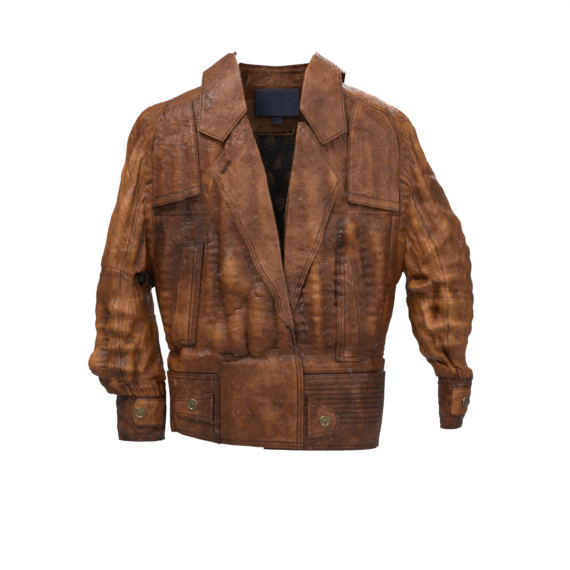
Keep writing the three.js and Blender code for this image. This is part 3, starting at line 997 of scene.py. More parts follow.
        # Painted shade in the fold creases and painted highlight on the crests, from the fold heights; the
        # panel's tone shifts its colour as a whole.
        wear = wear + panel.tone + np.clip(shell.wear(phi, z) * 0.13, -0.9, 0.8)
        outer = shell.place(phi, z, panel.lift + rise + lift)
        inner = shell.place(phi, z, panel.lift + rise - panel.thick - 0.3 * lift)
        piece = self.shell_mesh(panel.name, outer, inner, panel.finish, wear)
        nodes = (panel.name,) if panel.replaces is None else panel.replaces
        self.finish(piece, panel.body, panel.finish, nodes, panel.bend)
        self.stitch_rows(panel.name, panel.body, outer, far, panel.rows, panel.bend)
        return piece

    @staticmethod
    def relief(panel: Panel, far: dict[Edge, Array]) -> tuple[Array, Array]:
        """The lift that edges, rolls, tucks and stitched grooves give a panel, and its paleness: painted
        shade at the edges, in the grooves and at the tucks, with painted highlights just beside them.
        """
        open_edges = [d for edge, d in far.items() if edge not in panel.tucks + panel.flush]
        nearest = np.minimum.reduce(open_edges or [0 * far[Edge.TOP] + 99])
        drop = 1 - np.clip(nearest / EDGE_ROUND, 0, 1)
        lift = -min(panel.thick * 0.5, 1.0) * (1 - np.sqrt(np.clip(1 - drop**2, 0, 1)))
        # Painted shade on the outermost millimetre of each open edge, and a painted highlight band about 2.4
        # mm in.
        wear = 0.5 * bell(nearest, 2.4, 1.2) - 0.8 * bell(nearest, 0, 0.9)
        lift = lift + panel.puff * np.clip(nearest / 14, 0, 1) ** 0.6
        for edge, distances in panel.rows.items():
            for distance in distances:
                groove = bell(far[edge], distance, 1.1)
                lift = lift - 0.55 * groove
                # Painted shade in each stitched groove and a painted highlight on the ridge 3 mm beside it.
                wear = wear - 0.85 * groove + 0.34 * bell(far[edge] - distance, 3.0, 1.3)
        lift = lift + panel.flare * np.clip(1 - far[Edge.BOTTOM] / 80, 0, 1) ** 2
        for edge in panel.tucks:
            under = 1 - smooth(far[edge], 6.2, 8.4)
            lift = lift - TUCK_DEPTH * under
            # Painted shade where the panel tucks under its neighbour, and a painted highlight just past it.
            wear = wear - 0.7 * bell(far[edge], 7.6, 1.6) + 0.3 * bell(far[edge], 11, 2.0)
        if panel.roll:
            lift = lift - panel.roll * (1 - np.clip(far[Edge.SECOND] / 9, 0, 1)) ** 2
        return lift, wear

    # -- stitches --

    def stitch_rows(self, name: str, body: str, outer: Array, far: dict[Edge, Array],
                    rows: dict[Edge, tuple[float, ...]], bend: Bend | None = None) -> None:
        """Runs every row of stitches that a piece has along its edges."""
        for edge, distances in rows.items():
            for distance in distances:
                self.stitch_grid(name, body, outer, far, edge, distance, bend)

    def stitch_grid(self, name: str, body: str, outer: Array, far: dict[Edge, Array], edge: Edge,
                    distance: float, bend: Bend | None = None) -> None:
        """Runs a row of stitches at a distance from one edge of a grid."""
        table = far[edge]
        grid, values = outer, table
        if edge in (Edge.TOP, Edge.BOTTOM):
            grid, values = outer.transpose(1, 0, 2), table.T
        if edge in (Edge.SECOND, Edge.BOTTOM):
            grid, values = grid[:, ::-1], values[:, ::-1]
        line, beside = (
            np.array([[np.interp(at, v, g[:, axis]) for axis in range(3)] for v, g in zip(values, grid)])
            for at in (distance, distance + 2.0)
        )
        normal = unit(np.cross(np.gradient(line, axis=0), beside - line))
        centre = outer.reshape(-1, 3).mean(0)
        outward = np.array([centre[0] * 0.2, centre[1] if abs(centre[1]) > 8 else -60.0, 0.0])
        if (normal @ outward).mean() < 0:
            normal = -normal
        self.stitch(name, body, line, normal, bend)

    def stitch(self, name: str, body: str, line: Array, normal: Array, bend: Bend | None = None) -> None:
        """Queues a row of stitches along a line with its normals."""
        self.threads.setdefault((name, body), []).append((line, normal))
        if bend:
            self.bends[name] = bend

    def seam(self, name: str, body: str, ends: Corners, lift: float, rise: Callable[[Array], Array]) -> None:
        """Runs a straight row of stitches between two front view points on the body."""
        x, z = self.edge_line(ends, np.linspace(0, 1, 24), False).T
        raised = lift + rise(x)
        phi = self.body.angle(x, z)
        low, high = self.body.place(phi, z, raised), self.body.place(phi, z, raised + 1)
        self.stitch(name, body, low, high - low)

    @staticmethod
    def traced(values: Array, length: Array, at: Array) -> Array:
        """Values along a line, read at distances from its start."""
        return np.stack([np.interp(at, length, values[:, axis]) for axis in range(3)], -1)

    def sew(self) -> None:
        """Turns the queued rows into thread, one piece for each panel."""
        profile = np.array([(-1.0, 0.0), (0.0, 0.34), (1.0, 0.0)])
        for (name, body), rows in self.threads.items():
            points, faces = [], []
            for line, normal in rows:
                length = np.concatenate([[0], np.cumsum(np.linalg.norm(np.diff(line, axis=0), axis=1))])
                if length[-1] < 5:
                    continue
                centres = np.arange(1.8, length[-1] - 1.2, STITCH_PITCH)
                up = unit(self.traced(normal, length, centres))
                ahead = unit(self.traced(line, length, centres + 0.6)
                             - self.traced(line, length, centres - 0.6))
                side = np.cross(up, ahead)
                middle = self.traced(line, length, centres)
                for forward, high in ((-1.3, 0.05), (0.0, 0.42), (1.3, 0.05)):
                    for across, extra in profile:
                        raised = up * (high + extra - 0.1)
                        points.append(middle + ahead * forward + side * across * 0.36 + raised)
                start = sum(len(p) for p in points[:-9])
                count = len(centres)
                rings = start + np.arange(9)[:, None] * count + np.arange(count)
                for k in range(2):
                    for a, b in ((0, 1), (1, 2), (2, 0)):
                        faces.append(np.stack([rings[3 * k + a], rings[3 * k + 3 + a], rings[3 * k + 3 + b],
                                               rings[3 * k + b]], -1))
            if not faces:
                continue
            quads = np.concatenate(faces).tolist()
            piece = self.mesh(f"{name}_stitching", np.concatenate(points), quads, "thread")
            self.finish(piece, body, "thread", (), self.bends.get(name))

    def turned(self, name: str, body: str, centre: Array, normal: Array, profile: list[tuple[float, float]],
               finish: str, replaces: tuple[str, ...]) -> bpy.types.Object:
        """Makes a turned piece, such as a snap cap, from a profile of radius and height."""
        normal = normal / np.linalg.norm(normal)
        side = np.cross(normal, [0, 0, 1.0])
        side /= np.linalg.norm(side)
        other = np.cross(normal, side)
        turns = around(TURNED_SIDES)
        points = [centre + normal * profile[0][1]]
        for radius, height in profile[1:-1]:
            points.extend(centre + normal * height + radius * (math.cos(a) * side + math.sin(a) * other)
                          for a in turns)
        points.append(centre + normal * profile[-1][1])
        rings = 1 + numbered(len(profile) - 2, TURNED_SIDES)
        after = np.roll(rings, -1, 1)
        faces: list[tuple[int, ...]] = [(0, b, a) for a, b in zip(rings[0].tolist(), after[0].tolist())]
        walls = np.stack([rings[:-1], after[:-1], after[1:], rings[1:]], -1)
        faces += walls.reshape(-1, 4).tolist()
        faces += [(a, b, len(points) - 1) for a, b in zip(rings[-1].tolist(), after[-1].tolist())]
        wear = np.array([profile[0][1], *(h for _, h in profile[1:-1] for _ in turns), 0.0]) / 3
        return self.finish(self.mesh(name, np.array(points), faces, finish, wear), body, finish, replaces)


# ---- Sub-assemblies ---------------------------------------------------------------------------


def mirrored(corners: Corners) -> Corners:
    """The same corners on the other side."""
    return [(-x, z) for x, z in corners]


def sided(side: Side, corners: Corners) -> Corners:
    """Corners given for the wearer's left, put on the wanted side."""
    return corners if side is Side.LEFT else mirrored(corners)


def panel_edge(side: Side, z: float) -> float:
    """The fold between a front and its side panel."""
    return side.value * (190 - 22 * (CHEST_Z - z) / 376)


def overlap(x: Array) -> Array:
    """How far the wearer's right front stands over the left one."""
    return 8 * smooth(x, -112, -66)


@dataclass
class Back:
    """The back: yoke, panel, waistband, linings, collar, label and hang loop."""

    shop: Workshop
    label_size: tuple[float, float] = (78.0, 48.0)
    label_at: Point = (1.5, 37.5, -29.0)
    loop_size: tuple[float, float] = (64.0, 20.0)

    def build(self) -> None:
        """Makes every piece of the back."""
        shop = self.shop
        half = [(66, 3), (184, -44), (211, -108), (212, -131.5)]
        shop.lay(Panel("back_yoke", mirrored(half), half, "torso", "sleeve_leather", behind=True, pitch=5,
                       tucks=(Edge.FIRST, Edge.SECOND),
                       rows={Edge.FIRST: (11.0,), Edge.SECOND: (11.0,), Edge.BOTTOM: (3.5, 9.5)}))
        lines: tuple[Corners, Corners] = ([], [])
        for z in (-124.5, -250.0, -342.5, -345.0, -420.0, -497.0):
            seam = SIDE_SEAM
            if z > ARMHOLE_LOW_Z:
                seam = shop.body.angle(along(ARMHOLE, np.array(z)), np.array(z), True)
            lines[0].append((362.5 - math.degrees(seam), z))
            lines[1].append((math.degrees(seam) - 2.5, z))
        shop.lay(Panel("back_panel", *lines, "torso", "body_leather", polar=True, pitch=5,
                       tucks=(Edge.TOP, Edge.FIRST, Edge.SECOND, Edge.BOTTOM), rows={Edge.BOTTOM: (12.0,)}))
        band = []
        for side in (Side.RIGHT, Side.LEFT):
            high, low = (shop.degrees(panel_edge(side, z), z) + side.value * 0.35 for z in (-489.0, HEM_Z))
            turn = 360 if side is Side.RIGHT else 0
            band.append([(high + turn, -489.0), (low + turn, -591.0 if side is Side.RIGHT else -617.0)])
        shop.lay(Panel("waistband_back", *band, "torso", "band_leather", polar=True, lift=BAND_LIFT,
                       thick=BAND, pitch=6,
                       puff=1.2, rows={Edge.TOP: (3.5, 34, 56, 78), Edge.BOTTOM: (4.0, 8.5)}))
        lining = [(0.8 * along(HALF_WIDTH, np.array(z)), z) for z in (-75.0, -250.0, -420.0, -575.0)]
        shop.lay(Panel("back_lining", mirrored(lining), lining, "torso", "lining", behind=True,
                       lift=BACK_LINING_LIFT,
                       thick=LINING, pitch=7, sheet=True, hangs_on="back_panel_skin"))
        Paisley(shop, "back_lining", "torso").scatter(lining, BACK_LINING_LIFT - LINING - 0.25)
        facing = [(58, -20), (70, -77)]
        shop.lay(Panel("neck_facing", mirrored(facing), facing, "torso", "facing_leather", behind=True,
                       lift=-4, thick=1.6,
                       rows={Edge.BOTTOM: (3.0,)}))
        stand, fall = [(48, 30), (56, -6)], [(60, 36), (112, -26)]
        shop.lay(Panel("collar_stand", mirrored(stand), stand, "torso", "collar_leather", behind=True, lift=2,
                       thick=2.4,
                       shell=shop.collar, rows={Edge.TOP: (4.0,)}))
        shop.lay(Panel("collar_back", mirrored(fall), fall, "torso", "collar_leather", behind=True,
                       lift=COLLAR_LIFT, thick=COLLAR,
                       shell=shop.collar, rows={Edge.TOP: (4.0,), Edge.BOTTOM: (4.0,)}))
        self.label("neck_label", self.label_at, self.label_size, (3.0, 4.6))
        self.label("size_tab", (1.5, 38.0, -60.6), (16.0, 12.0), (1.4,))
        self.hang_loop()

    def label(self, name: str, at: Point, size: tuple[float, float], rims: tuple[float, ...]) -> None:
        """A woven label, left blank, with plain rows of stitches this far inside its edge."""
        across, down = np.meshgrid(np.linspace(-0.5, 0.5, 39), np.linspace(0.5, -0.5, 25))
        curl = 0.5 * np.cos(across * 5) * np.cos(down * 4) - 0.4
        outer = np.stack([at[0] + across * size[0], at[1] + curl - 0.4, at[2] + down * size[1]], -1)
        inner = outer + [0, 0.8, 0]
        self.shop.finish(self.shop.shell_mesh(name, outer, inner, "label_weave", 0 * across), "torso",
                         "label_weave", (name,))
        for inset in rims:
            w, h = size[0] / 2 - inset, size[1] / 2 - inset
            corners = np.array([(-w, h), (w, h), (w, -h), (-w, -h), (-w, h)])
            line = np.concatenate([np.linspace(corners[i], corners[i + 1], 20) for i in range(4)])
            points = np.stack([at[0] + line[:, 0], 0 * line[:, 0] + at[1] - 0.55, at[2] + line[:, 1]], -1)
            self.shop.stitch(name, "torso", points, np.tile([0.0, -1, 0], (len(points), 1)))

    def hang_loop(self) -> None:
        """The flat chain loop sewn below the collar."""
        width, height = (v / 2 - 1.3 for v in self.loop_size)
        corner = 5.0
        c, s = np.cos(around(96)), np.sin(around(96))
        x, z = ((half - corner) * np.sign(w) * np.minimum(1, np.abs(w) * 2.6) + corner * w
                for half, w in ((width, c), (height, s)))
        line = np.stack([x, 50 + 0 * x, -74 + z], -1)
        normal = np.stack([c, 0 * c, s], -1)
        grid = np.array([line + normal * math.cos(a) * 1.2 + np.array([0, 1.3 * math.sin(a), 0])
                         for a in around(10)])
        index = numbered(*grid.shape[:2])
        closed = np.vstack([index, index[:1]])
        faces = quads(closed, np.roll(closed, -1, 1)).tolist()
        piece = self.shop.mesh("hang_loop", grid.reshape(-1, 3), faces, "trim_leather")
        self.shop.finish(piece, "torso", "trim_leather", ("hang_loop",))


@dataclass
class Paisley:
    """A printed pattern of drops, laid as thin coloured patches on a lining."""

    shop: Workshop
    name: str
    body: str
    pitch: float = 34.0
    size: float = 13.0

    def motif(self, centre: Array, angle: float, flip: float) -> list[Array]:
        """Ribbons of one drop: its outline, an inner drop, a stalk of dots and a ring of dots."""
        t = around(34)
        ribbons = []
        for scale, width in ((1.0, 0.085), (0.66, 0.06), (0.36, 0.1)):
            r = scale * (0.62 + 0.2 * np.cos(t))
            x = r * np.sin(t) * 0.82 + flip * scale * 0.24 * np.clip(np.cos(t), 0, 1) ** 3
            y = r * np.cos(t) + scale * 0.42 * np.clip(np.cos(t), 0, 1) ** 6
            out = np.stack([x, y], -1)
            ribbons.append(np.stack([out, out * (1 - width / scale)], 0))
        for k in range(15):
            a = 2 * math.pi * k / 15
            at = np.array([math.sin(a) * 0.82 * 0.92, math.cos(a) * 0.98 + 0.08])
            dot = np.stack([np.sin(t[::5]), np.cos(t[::5])], -1)
            ribbons.append(np.stack([at + dot * 0.055, at + dot * 0.001], 0))
        turn = np.array([[math.cos(angle), -math.sin(angle)], [math.sin(angle), math.cos(angle)]])
        return [centre + self.size * r @ turn.T for r in ribbons]

    def scatter(self, edge: Corners, lift: float) -> None:
        """Fills the back of the lining with drops.

        Args:
            edge: One side of the lining; the other is its mirror.
            lift: How high the print stands, which is below the lining as its face looks inwards.
        """
        rng = np.random.default_rng(7)
        grids: list[Array] = []
        for row, z in enumerate(np.arange(edge[0][1] - 16, edge[-1][1] + 14, -self.pitch)):
            reach = np.interp(-z, [-c[1] for c in edge], [c[0] for c in edge])
            for x in np.arange(14 - reach + (row % 2) * self.pitch / 2, reach - 13, self.pitch):
                spot = np.array([x, z]) + rng.uniform(-3, 3, 2)
                turn = rng.uniform(-0.6, 0.6) + (row % 2) * 2.6
                grids += self.motif(spot, turn, 1 if rng.random() < 0.5 else -1)
        points, faces, start = [], [], 0
        for grid in grids:
            count = grid.shape[1]
            x, z = grid[..., 0].ravel(), grid[..., 1].ravel()
            points.append(self.shop.body.place(self.shop.body.angle(x, z, True), z, lift + 0 * x))
            a = start + np.arange(count)
            b = np.roll(a, -1)
            faces.append(np.stack([a, b, b + count, a + count], -1))
            start += 2 * count
        piece = self.shop.mesh(f"{self.name}_print", np.concatenate(points), np.concatenate(faces).tolist(),
                               "paisley")
        self.shop.finish(piece, self.body, "paisley")


@dataclass
class Shoulder:
    """One shoulder: saddle, pad, chest, storm flap and collar leaf."""

    shop: Workshop
    side: Side
    flap_outer: dict[Side, Corners] = field(default_factory=lambda: {
        Side.RIGHT: [(-181, -60), (-197, -92), (-204, -150), (-204, -215)],
        Side.LEFT: [(180, -62), (198, -96), (204, -150), (200, -221)]})
    flap_inner: dict[Side, Corners] = field(default_factory=lambda: {
        Side.RIGHT: [(-138, -40), (-133, -78), (-126, -140), (-124, -194)],
        Side.LEFT: [(128, -40), (120, -84), (117, -140), (116, -206)]})
    leaf_outer: dict[Side, Corners] = field(default_factory=lambda: {
        Side.RIGHT: [(-74, 40), (-118, 9), (-128, -92), (-86, -112)],
        Side.LEFT: [(67, 36), (103, 9), (116, -94), (76, -117)]})
    leaf_inner: dict[Side, Corners] = field(default_factory=lambda: {
        Side.RIGHT: [(-65, 36), (-57, 6), (-50, -40), (-46, -60)],
        Side.LEFT: [(58, 34), (46, 6), (41, -36), (38, -58)]})

    def ridge_point(self, x: Array, turn: Array, lift: Array, shell: BodyDrape | None = None) -> Array:
        """A point over the ridge of the shoulder, or of the collar."""
        shell = shell or self.shop.body

        def at(px: Array, t: Array) -> Array:
            """A point of the bare ridge."""
            z = shell.ridge - shell.slope * (np.abs(px) - 60) - shell.rounding * (1 - np.cos(t))
            phi = BodyDrape.angle(px, z)
            across = np.cos(phi - SQUARENESS * np.sin(2 * phi))
            depth = np.where(t > 0, along(FRONT_DEPTH, z), along(BACK_DEPTH, z))
            return np.stack([px, -depth * across * np.sin(t), z], -1)

        normal = np.cross(at(x, turn + 0.05) - at(x, turn - 0.05), at(x + 2, turn) - at(x - 2, turn))
        return at(x, turn) + unit(normal) * np.asarray(lift)[..., None]

    def build(self) -> None:
        """Makes the pieces of the shoulder."""
        shop, side, word = self.shop, self.side, self.side.word
        u, v = np.meshgrid(np.linspace(0, 1, 34), np.linspace(0, 1, 44))
        turn = 1.02 - 1.87 * v
        x = side.value * (64 + (along(ARMHOLE, -27 - 60 * (1 - np.cos(turn))) - 61.5) * u)
        flat = self.ridge_point(x, turn, 0 * x)
        puff = 0.8 * waves(flat, 50, 31)
        for share in (v, u):
            puff = puff * np.clip(np.minimum(share, 1 - share) * 8, 0, 1)
        far = Workshop.edge_distances(flat)
        rows = {Edge.TOP: (3.0, 9.0), Edge.BOTTOM: (3.0,)}
        relief, wear = Workshop.relief(Panel("", [], [], "", "", rows=rows), far)
        outer, inner = self.ridge_point(x, turn, puff + relief), self.ridge_point(x, turn, -LEATHER + 0 * x)
        # Paleness follows the puff: painted highlight on the bulges and painted shade in the dips, over the
        # painted edge and groove shade.
        piece = shop.shell_mesh(f"{word}_saddle", outer, inner, "sleeve_leather", wear + 0.3 * puff)
        shop.finish(piece, "torso", "sleeve_leather", (f"{word}_saddle",))
        shop.stitch_rows(f"{word}_saddle", "torso", outer, far, rows)
        self.pad()
        self.collar_roll()
        near = [(58, -4), (75, -118), (100, -190), (112, -233)]
        outside = [(184, -50), (210.5, -106), (211.5, -190), (212, -233)]
        shop.lay(Panel(f"{word}_chest", sided(side, near), sided(side, outside), "torso", "body_leather",
                       pitch=3.2, tone=0.1, tucks=(Edge.TOP, Edge.FIRST, Edge.SECOND, Edge.BOTTOM),
                       rows={Edge.TOP: (11.5, 17.5), Edge.SECOND: (12.5,)}))
        shop.lay(Panel(f"{word}_storm_flap", self.flap_outer[side], self.flap_inner[side],
                       f"{word}_storm_flap", "trim_leather",
                       lift=4.4, thick=2.0, pitch=3.2, curved=True, puff=0.5, tone=0.14, flare=5.0,
                       bend=Bend("torso", f"{word}_storm_flap", (0, 0, -72), (0, 0, -96)),
                       rows={Edge.SECOND: (3.0,), Edge.BOTTOM: (3.0, 15.0)}))
        shop.lay(Panel(f"{word}_collar_leaf", self.leaf_outer[side], self.leaf_inner[side],
                       f"{word}_collar_leaf", "collar_leather",
                       lift=COLLAR_LIFT, thick=COLLAR, pitch=3, shell=shop.collar, puff=0.6,
                       rows={Edge.FIRST: (4.0,), Edge.BOTTOM: (4.0,)}))

    def collar_roll(self) -> None:
        """The roll of the collar over the shoulder, under the leaf and the back fall."""
        u, v = np.meshgrid(np.linspace(0, 1, 24), np.linspace(0, 1, 40))
        turn = 0.5 - 1.5 * v
        x = self.side.value * (63 + 48 * u + 4 * np.sin(math.pi * v))
        outer = self.ridge_point(x, turn, 6.4 + 0.4 * waves(np.stack([x, turn * 40, 0 * x], -1), 40, 33),
                                 self.shop.collar)
        inner = self.ridge_point(x, turn, 4.2 + 0 * x, self.shop.collar)
        name = f"{self.side.word}_collar_roll"
        self.shop.finish(self.shop.shell_mesh(name, outer, inner, "collar_leather", 0 * u), "torso",
                         "collar_leather")

    def pad(self) -> None:
        """The shoulder pad under the saddle."""
        u, v = np.meshgrid(np.linspace(0, 1, 26), np.linspace(0, 1, 30))
        x, turn = self.side.value * (106 + 62 * u), 0.8 - 1.5 * v
        bulge = np.sin(math.pi * (0.12 + 0.76 * u)) * np.sin(math.pi * (0.12 + 0.76 * v))
        name = f"{self.side.word}_shoulder_pad"
        outer, inner = self.ridge_point(x, turn, -2.8 + 0 * x), self.ridge_point(x, turn, -3.0 - 9 * bulge)
        piece = self.shop.shell_mesh(name, outer, inner, "padding", 0 * u)
        self.shop.finish(piece, "torso", "padding", (name,))


@dataclass
class Front:
    """One front: panel, lapel, side, welt and bag, waistband, tab and snap."""

    shop: Workshop
    side: Side
    edge: dict[Side, Corners] = field(default_factory=lambda: {
        Side.RIGHT: [(-44, -72), (-8, -208), (-5, -224), (8, -290), (10, -300), (33, -437), (40, -450),
                     (44, WAIST_Z)],
        Side.LEFT: [(36, -82), (16, -208), (15, -224), (12, -290), (11, -300), (-2, -430), (-6, -442),
                    (-20, WAIST_Z)]})
    lapel_outer: dict[Side, Corners] = field(default_factory=lambda: {
        Side.RIGHT: [(-50, -68), (-82, -114), (-109, -154), (-60, -244), (0, -373), (33, -437)],
        Side.LEFT: [(47, -78), (87, -131), (109, -170), (89, -226), (56, -310), (27, -385)]})
    lapel_inner: dict[Side, Corners] = field(default_factory=lambda: {
        Side.RIGHT: [(-46, -68), (-31, -114), (-20, -154), (0, -244), (22, -373), (36, -437)],
        Side.LEFT: [(36, -78), (29, -131), (23, -170), (18, -226), (12, -310), (5, -385)]})
    welt: dict[Side, tuple[Corners, Corners]] = field(default_factory=lambda: {
        Side.RIGHT: ([(-160, -270), (-174, -438)], [(-118, -266), (-131, -436)]),
        Side.LEFT: ([(129, -296), (146, -470)], [(97, -296), (99, -470)])})
    hems: dict[Side, tuple[float, float]] = field(default_factory=lambda: {
        Side.RIGHT: (-590, -611), Side.LEFT: (-618, -612)})
    tab_root: dict[Side, tuple[float, float, float]] = field(default_factory=lambda: {
        Side.RIGHT: (-100, -519, -570), Side.LEFT: (50, -522, -596)})
    tab_tip: dict[Side, Corners] = field(default_factory=lambda: {
        Side.RIGHT: [(-158, -530), (-166, -545), (-158, -560)],
        Side.LEFT: [(98, -550), (105, -569), (98, -588)]})
    snap: dict[Side, tuple[float, float]] = field(default_factory=lambda: {
        Side.RIGHT: (-134, -541), Side.LEFT: (78, -566)})

    def rise(self, x: Array) -> Array:
        """The overlap's lift on this side."""
        return overlap(x) if self.side is Side.RIGHT else 0 * np.asarray(x, float)

    def bend(self) -> Bend:
        """The Bend record of the side panel, between the torso and this front."""
        s = self.side.value
        return Bend("torso", f"{self.side.word}_front", (s * 93, 81.8, 0), (s * 82.9, 72.9, 0))

    def build(self) -> None:
        """Makes the pieces of the front."""
        shop, side, word = self.shop, self.side, self.side.word
        body = f"{word}_front"
        flush, rows = (Edge.FIRST, Edge.BOTTOM), {Edge.SECOND: (4.0, 10.0)}
        if side is Side.LEFT:
            flush, rows = (Edge.FIRST,), {**rows, Edge.BOTTOM: (3.0,)}
        outer = [(side.value * 83, -118), (side.value * 120, CHEST_Z - 1.8)]
        outer += [(panel_edge(side, z), z) for z in (CHEST_Z - 2, -290.0, -300.0, -430.0, -445.0, WAIST_Z)]
        shop.lay(Panel(f"{word}_front", outer, self.edge[side], body, "body_leather", pitch=3, rise=self.rise,
                       flush=flush, rows=rows))
        shop.lay(Panel(f"{word}_lapel", self.lapel_outer[side], self.lapel_inner[side], body,
                       "collar_leather", lift=LAPEL_LIFT,
                       thick=TRIM, pitch=2.8, rise=self.rise, roll=1.6, puff=0.5,
                       rows={Edge.FIRST: (4.0, 9.5), Edge.TOP: (4.0,)}))
        if side is Side.RIGHT:
            self.buttonhole(body)
        near = [(-8, -250), (-26, -470)] if side is Side.RIGHT else [(28, -250), (10, -470)]
        far = sided(side, [(112, -250), (150, -470)])
        shop.lay(Panel(f"{word}_front_lining", far, near, body, "lining", lift=FRONT_LINING_LIFT,
                       thick=LINING, pitch=7,
                       rise=self.rise, sheet=True, hangs_on=f"{word}_front_skin"))
        self.side_panel()
        self.pocket(body)
        self.waistband(body)
        self.tab(body)

    def buttonhole(self, body: str) -> None:
        """The worked buttonhole in the lapel: a frame of stitches round a very dark sheet that paints the
        shade inside the slit.
        """
        lengthwise, across = np.array([0.55, 0.84]), np.array([0.84, -0.55])
        middle = np.array([-79.0, -150.0])
        for half_long, half_wide in ((12.5, 3.6), (10.5, 1.7)):
            signs = [(-1, -1), (1, -1), (1, 1), (-1, 1), (-1, -1)]
            corners = [tuple(middle + lengthwise * half_long * a + across * half_wide * b) for a, b in signs]
            for start, end in zip(corners, corners[1:]):
                self.shop.seam(f"{self.side.word}_lapel", body, [start, end], 5.7, self.rise)
        # The slit is a thin sheet darkened by tone -1.6: painted shade standing for the opening.
        for name, half_wide, lift, tone in (("frame", 3.4, 5.5, 0.5), ("slit", 1.3, 6.0, -1.6)):
            edges = [[tuple(middle + lengthwise * 12 * a + across * half_wide * b) for a in (-1, 1)]
                     for b in (-1, 1)]
            self.shop.lay(Panel(f"buttonhole_{name}", *edges, body, "band_leather", (), lift=lift, thick=0.7,
                                pitch=2, rise=self.rise, tone=tone))

    def side_panel(self) -> None:
        """The panel under the arm, laid with a Bend record between the torso and the front."""
        side, word, lines = self.side, self.side.word, ([], [])
        turn = 360 if side is Side.RIGHT else 0
        for z in (-219.0, -262.0, -300.0, -341.0, -346.5, -400.0, -450.0, -497.0):
            near = self.shop.degrees(panel_edge(side, z) - side.value * 5, z)
            if z > -345:
                seam = self.shop.degrees(side.value * float(along(ARMHOLE, np.array(z))), z)
            else:
                seam = math.degrees(side.value * 1.714)
            lines[0].append((near + turn, z))
            lines[1].append((seam + turn, z))
        self.shop.lay(Panel(f"{word}_side_panel", *lines, "torso", "body_leather", polar=True, pitch=3.4,
                            tucks=(Edge.FIRST, Edge.TOP, Edge.BOTTOM), rows={Edge.BOTTOM: (12.0,)},
                            bend=self.bend()))

    def pocket(self, body: str) -> None:
        """The slanted pocket welt with its rows of stitches, and the bag behind it."""
        shop, side, word = self.shop, self.side, self.side.word
        first, second = self.welt[side]
        shop.lay(Panel(f"{word}_pocket_welt", first, second, body, "trim_leather", lift=WELT_LIFT, thick=TRIM,
                       pitch=3,
                       rise=self.rise, puff=1.0,
                       rows={Edge.FIRST: (3.0, 7.5), Edge.SECOND: (3.0, 7.5, 14.0), Edge.TOP: (3.0, 8.0),
                             Edge.BOTTOM: (3.0, 8.0)}))
        bag = [(190, -278), (180, -445)], [(112, -278), (112, -445)]
        shop.lay(Panel(f"{word}_pocket_bag", sided(side, bag[0]), sided(side, bag[1]), body, "lining",
                       lift=BAG_LIFT,
                       thick=LINING, pitch=8, sheet=True, hangs_on=f"{word}_front_skin"))

    def waistband(self, body: str) -> None:
        """The broad quilted waistband of this front."""
        shop, side, word = self.shop, self.side, self.side.word
        low_side, low_front = self.hems[side]
        inner = self.edge[side][-1][0]
        first = [(panel_edge(side, z), z if z > -600 else low_side) for z in (WAIST_Z - 1.2, HEM_Z)]
        rows = (3.0, 8.0, 18, 26, 34, 42, 50, 58, 66, 74, 82) if side is Side.LEFT else (3.0, 9.0)
        end = [(inner, WAIST_Z - 1.2), (inner, low_front)]
        if side is Side.RIGHT:
            skirt = [(-96, WAIST_Z), (-94, -603)]
            shop.lay(Panel("right_skirt", skirt, [(inner, WAIST_Z), (inner, low_front)], body, "body_leather",
                           ("right_waistband",),
                           pitch=3.2, rise=self.rise, flush=(Edge.TOP,),
                           rows={Edge.BOTTOM: (4.0, 10.0), Edge.SECOND: (4.0, 10.0)}))
            end = [(-92, WAIST_Z - 1.2), (-90, -604)]
        shop.lay(Panel(f"{word}_waistband", first, end, body, "band_leather", lift=BAND_LIFT, thick=BAND,
                       pitch=3.2,
                       rise=self.rise, puff=0.9,
                       rows={Edge.TOP: rows, Edge.BOTTOM: (3.0, 8.0), Edge.SECOND: (4.0, 9.0)}))

    def tab(self, body: str) -> None:
        """The pointed waist tab, its snap and the stud under it."""
        shop, side, word = self.shop, self.side, self.side.word
        x, high, low = self.tab_root[side]
        tip = self.tab_tip[side]

        def rise(px: Array) -> Array:
            """The overlap's lift, never less than the tab's own."""
            return np.maximum(0.6, self.rise(px))

        root = [(x, high), (x, (high + low) / 2), (x, low)]
        moving = f"{word}_waist_tab"
        shop.lay(Panel(moving, root, tip, moving, "band_leather", lift=TAB_LIFT, thick=2.2, pitch=2.4,
                       rise=rise, puff=0.8, tone=0.1,
                       rows={Edge.TOP: (3.0, 8.0), Edge.BOTTOM: (3.0, 8.0), Edge.SECOND: (3.0, 8.0)}))
        sx, sz = (np.array(float(v)) for v in self.snap[side])
        phi = shop.body.angle(sx, sz)
        foot, up = shop.body.place(phi, sz, 0 * sx), shop.body.place(phi, sz, 0 * sx + 1)
        normal = up - foot
        Snap(shop, f"{word}_waist_snap", moving).cap(foot + normal * (8.3 + float(rise(sx))), normal)
        Snap(shop, f"{word}_waist_stud", body).stud(foot + normal * (3.1 + float(self.rise(sx))), normal)


@dataclass
class Snap:
    """A press snap: a domed cap with a rolled rim, and the stud that it closes on."""

    shop: Workshop
    name: str
    body: str
    radius: float = 9.5
    height: float = 2.6
    stud_radius: float = 4.3

    def cap(self, foot: Array, normal: Array) -> None:
        """Makes the cap on a foot point."""
        r, h = self.radius, self.height
        profile = [(0, h * 0.86), (2.2, h * 0.84), (4.6, h * 0.72), (6.0, h * 0.6), (6.6, h * 0.78), (7.5, h),
                   (8.6, h * 0.86), (9.3, h * 0.5), (r, 0.1),
                   (r - 0.6, 0), (0, 0)]
        self.shop.turned(self.name, self.body, foot, normal, profile, "snap_metal", (self.name,))

    def stud(self, foot: Array, normal: Array) -> None:
        """Makes the stud on a foot point."""
        r = self.stud_radius
        profile = [(0, 1.4), (2.4, 1.4), (3.0, 1.2), (2.7, 0.7), (r, 0.4), (r, 0.05), (r - 0.4, 0), (0, 0)]
        self.shop.turned(self.name, self.body, foot, normal, profile, "snap_metal", (self.name,))


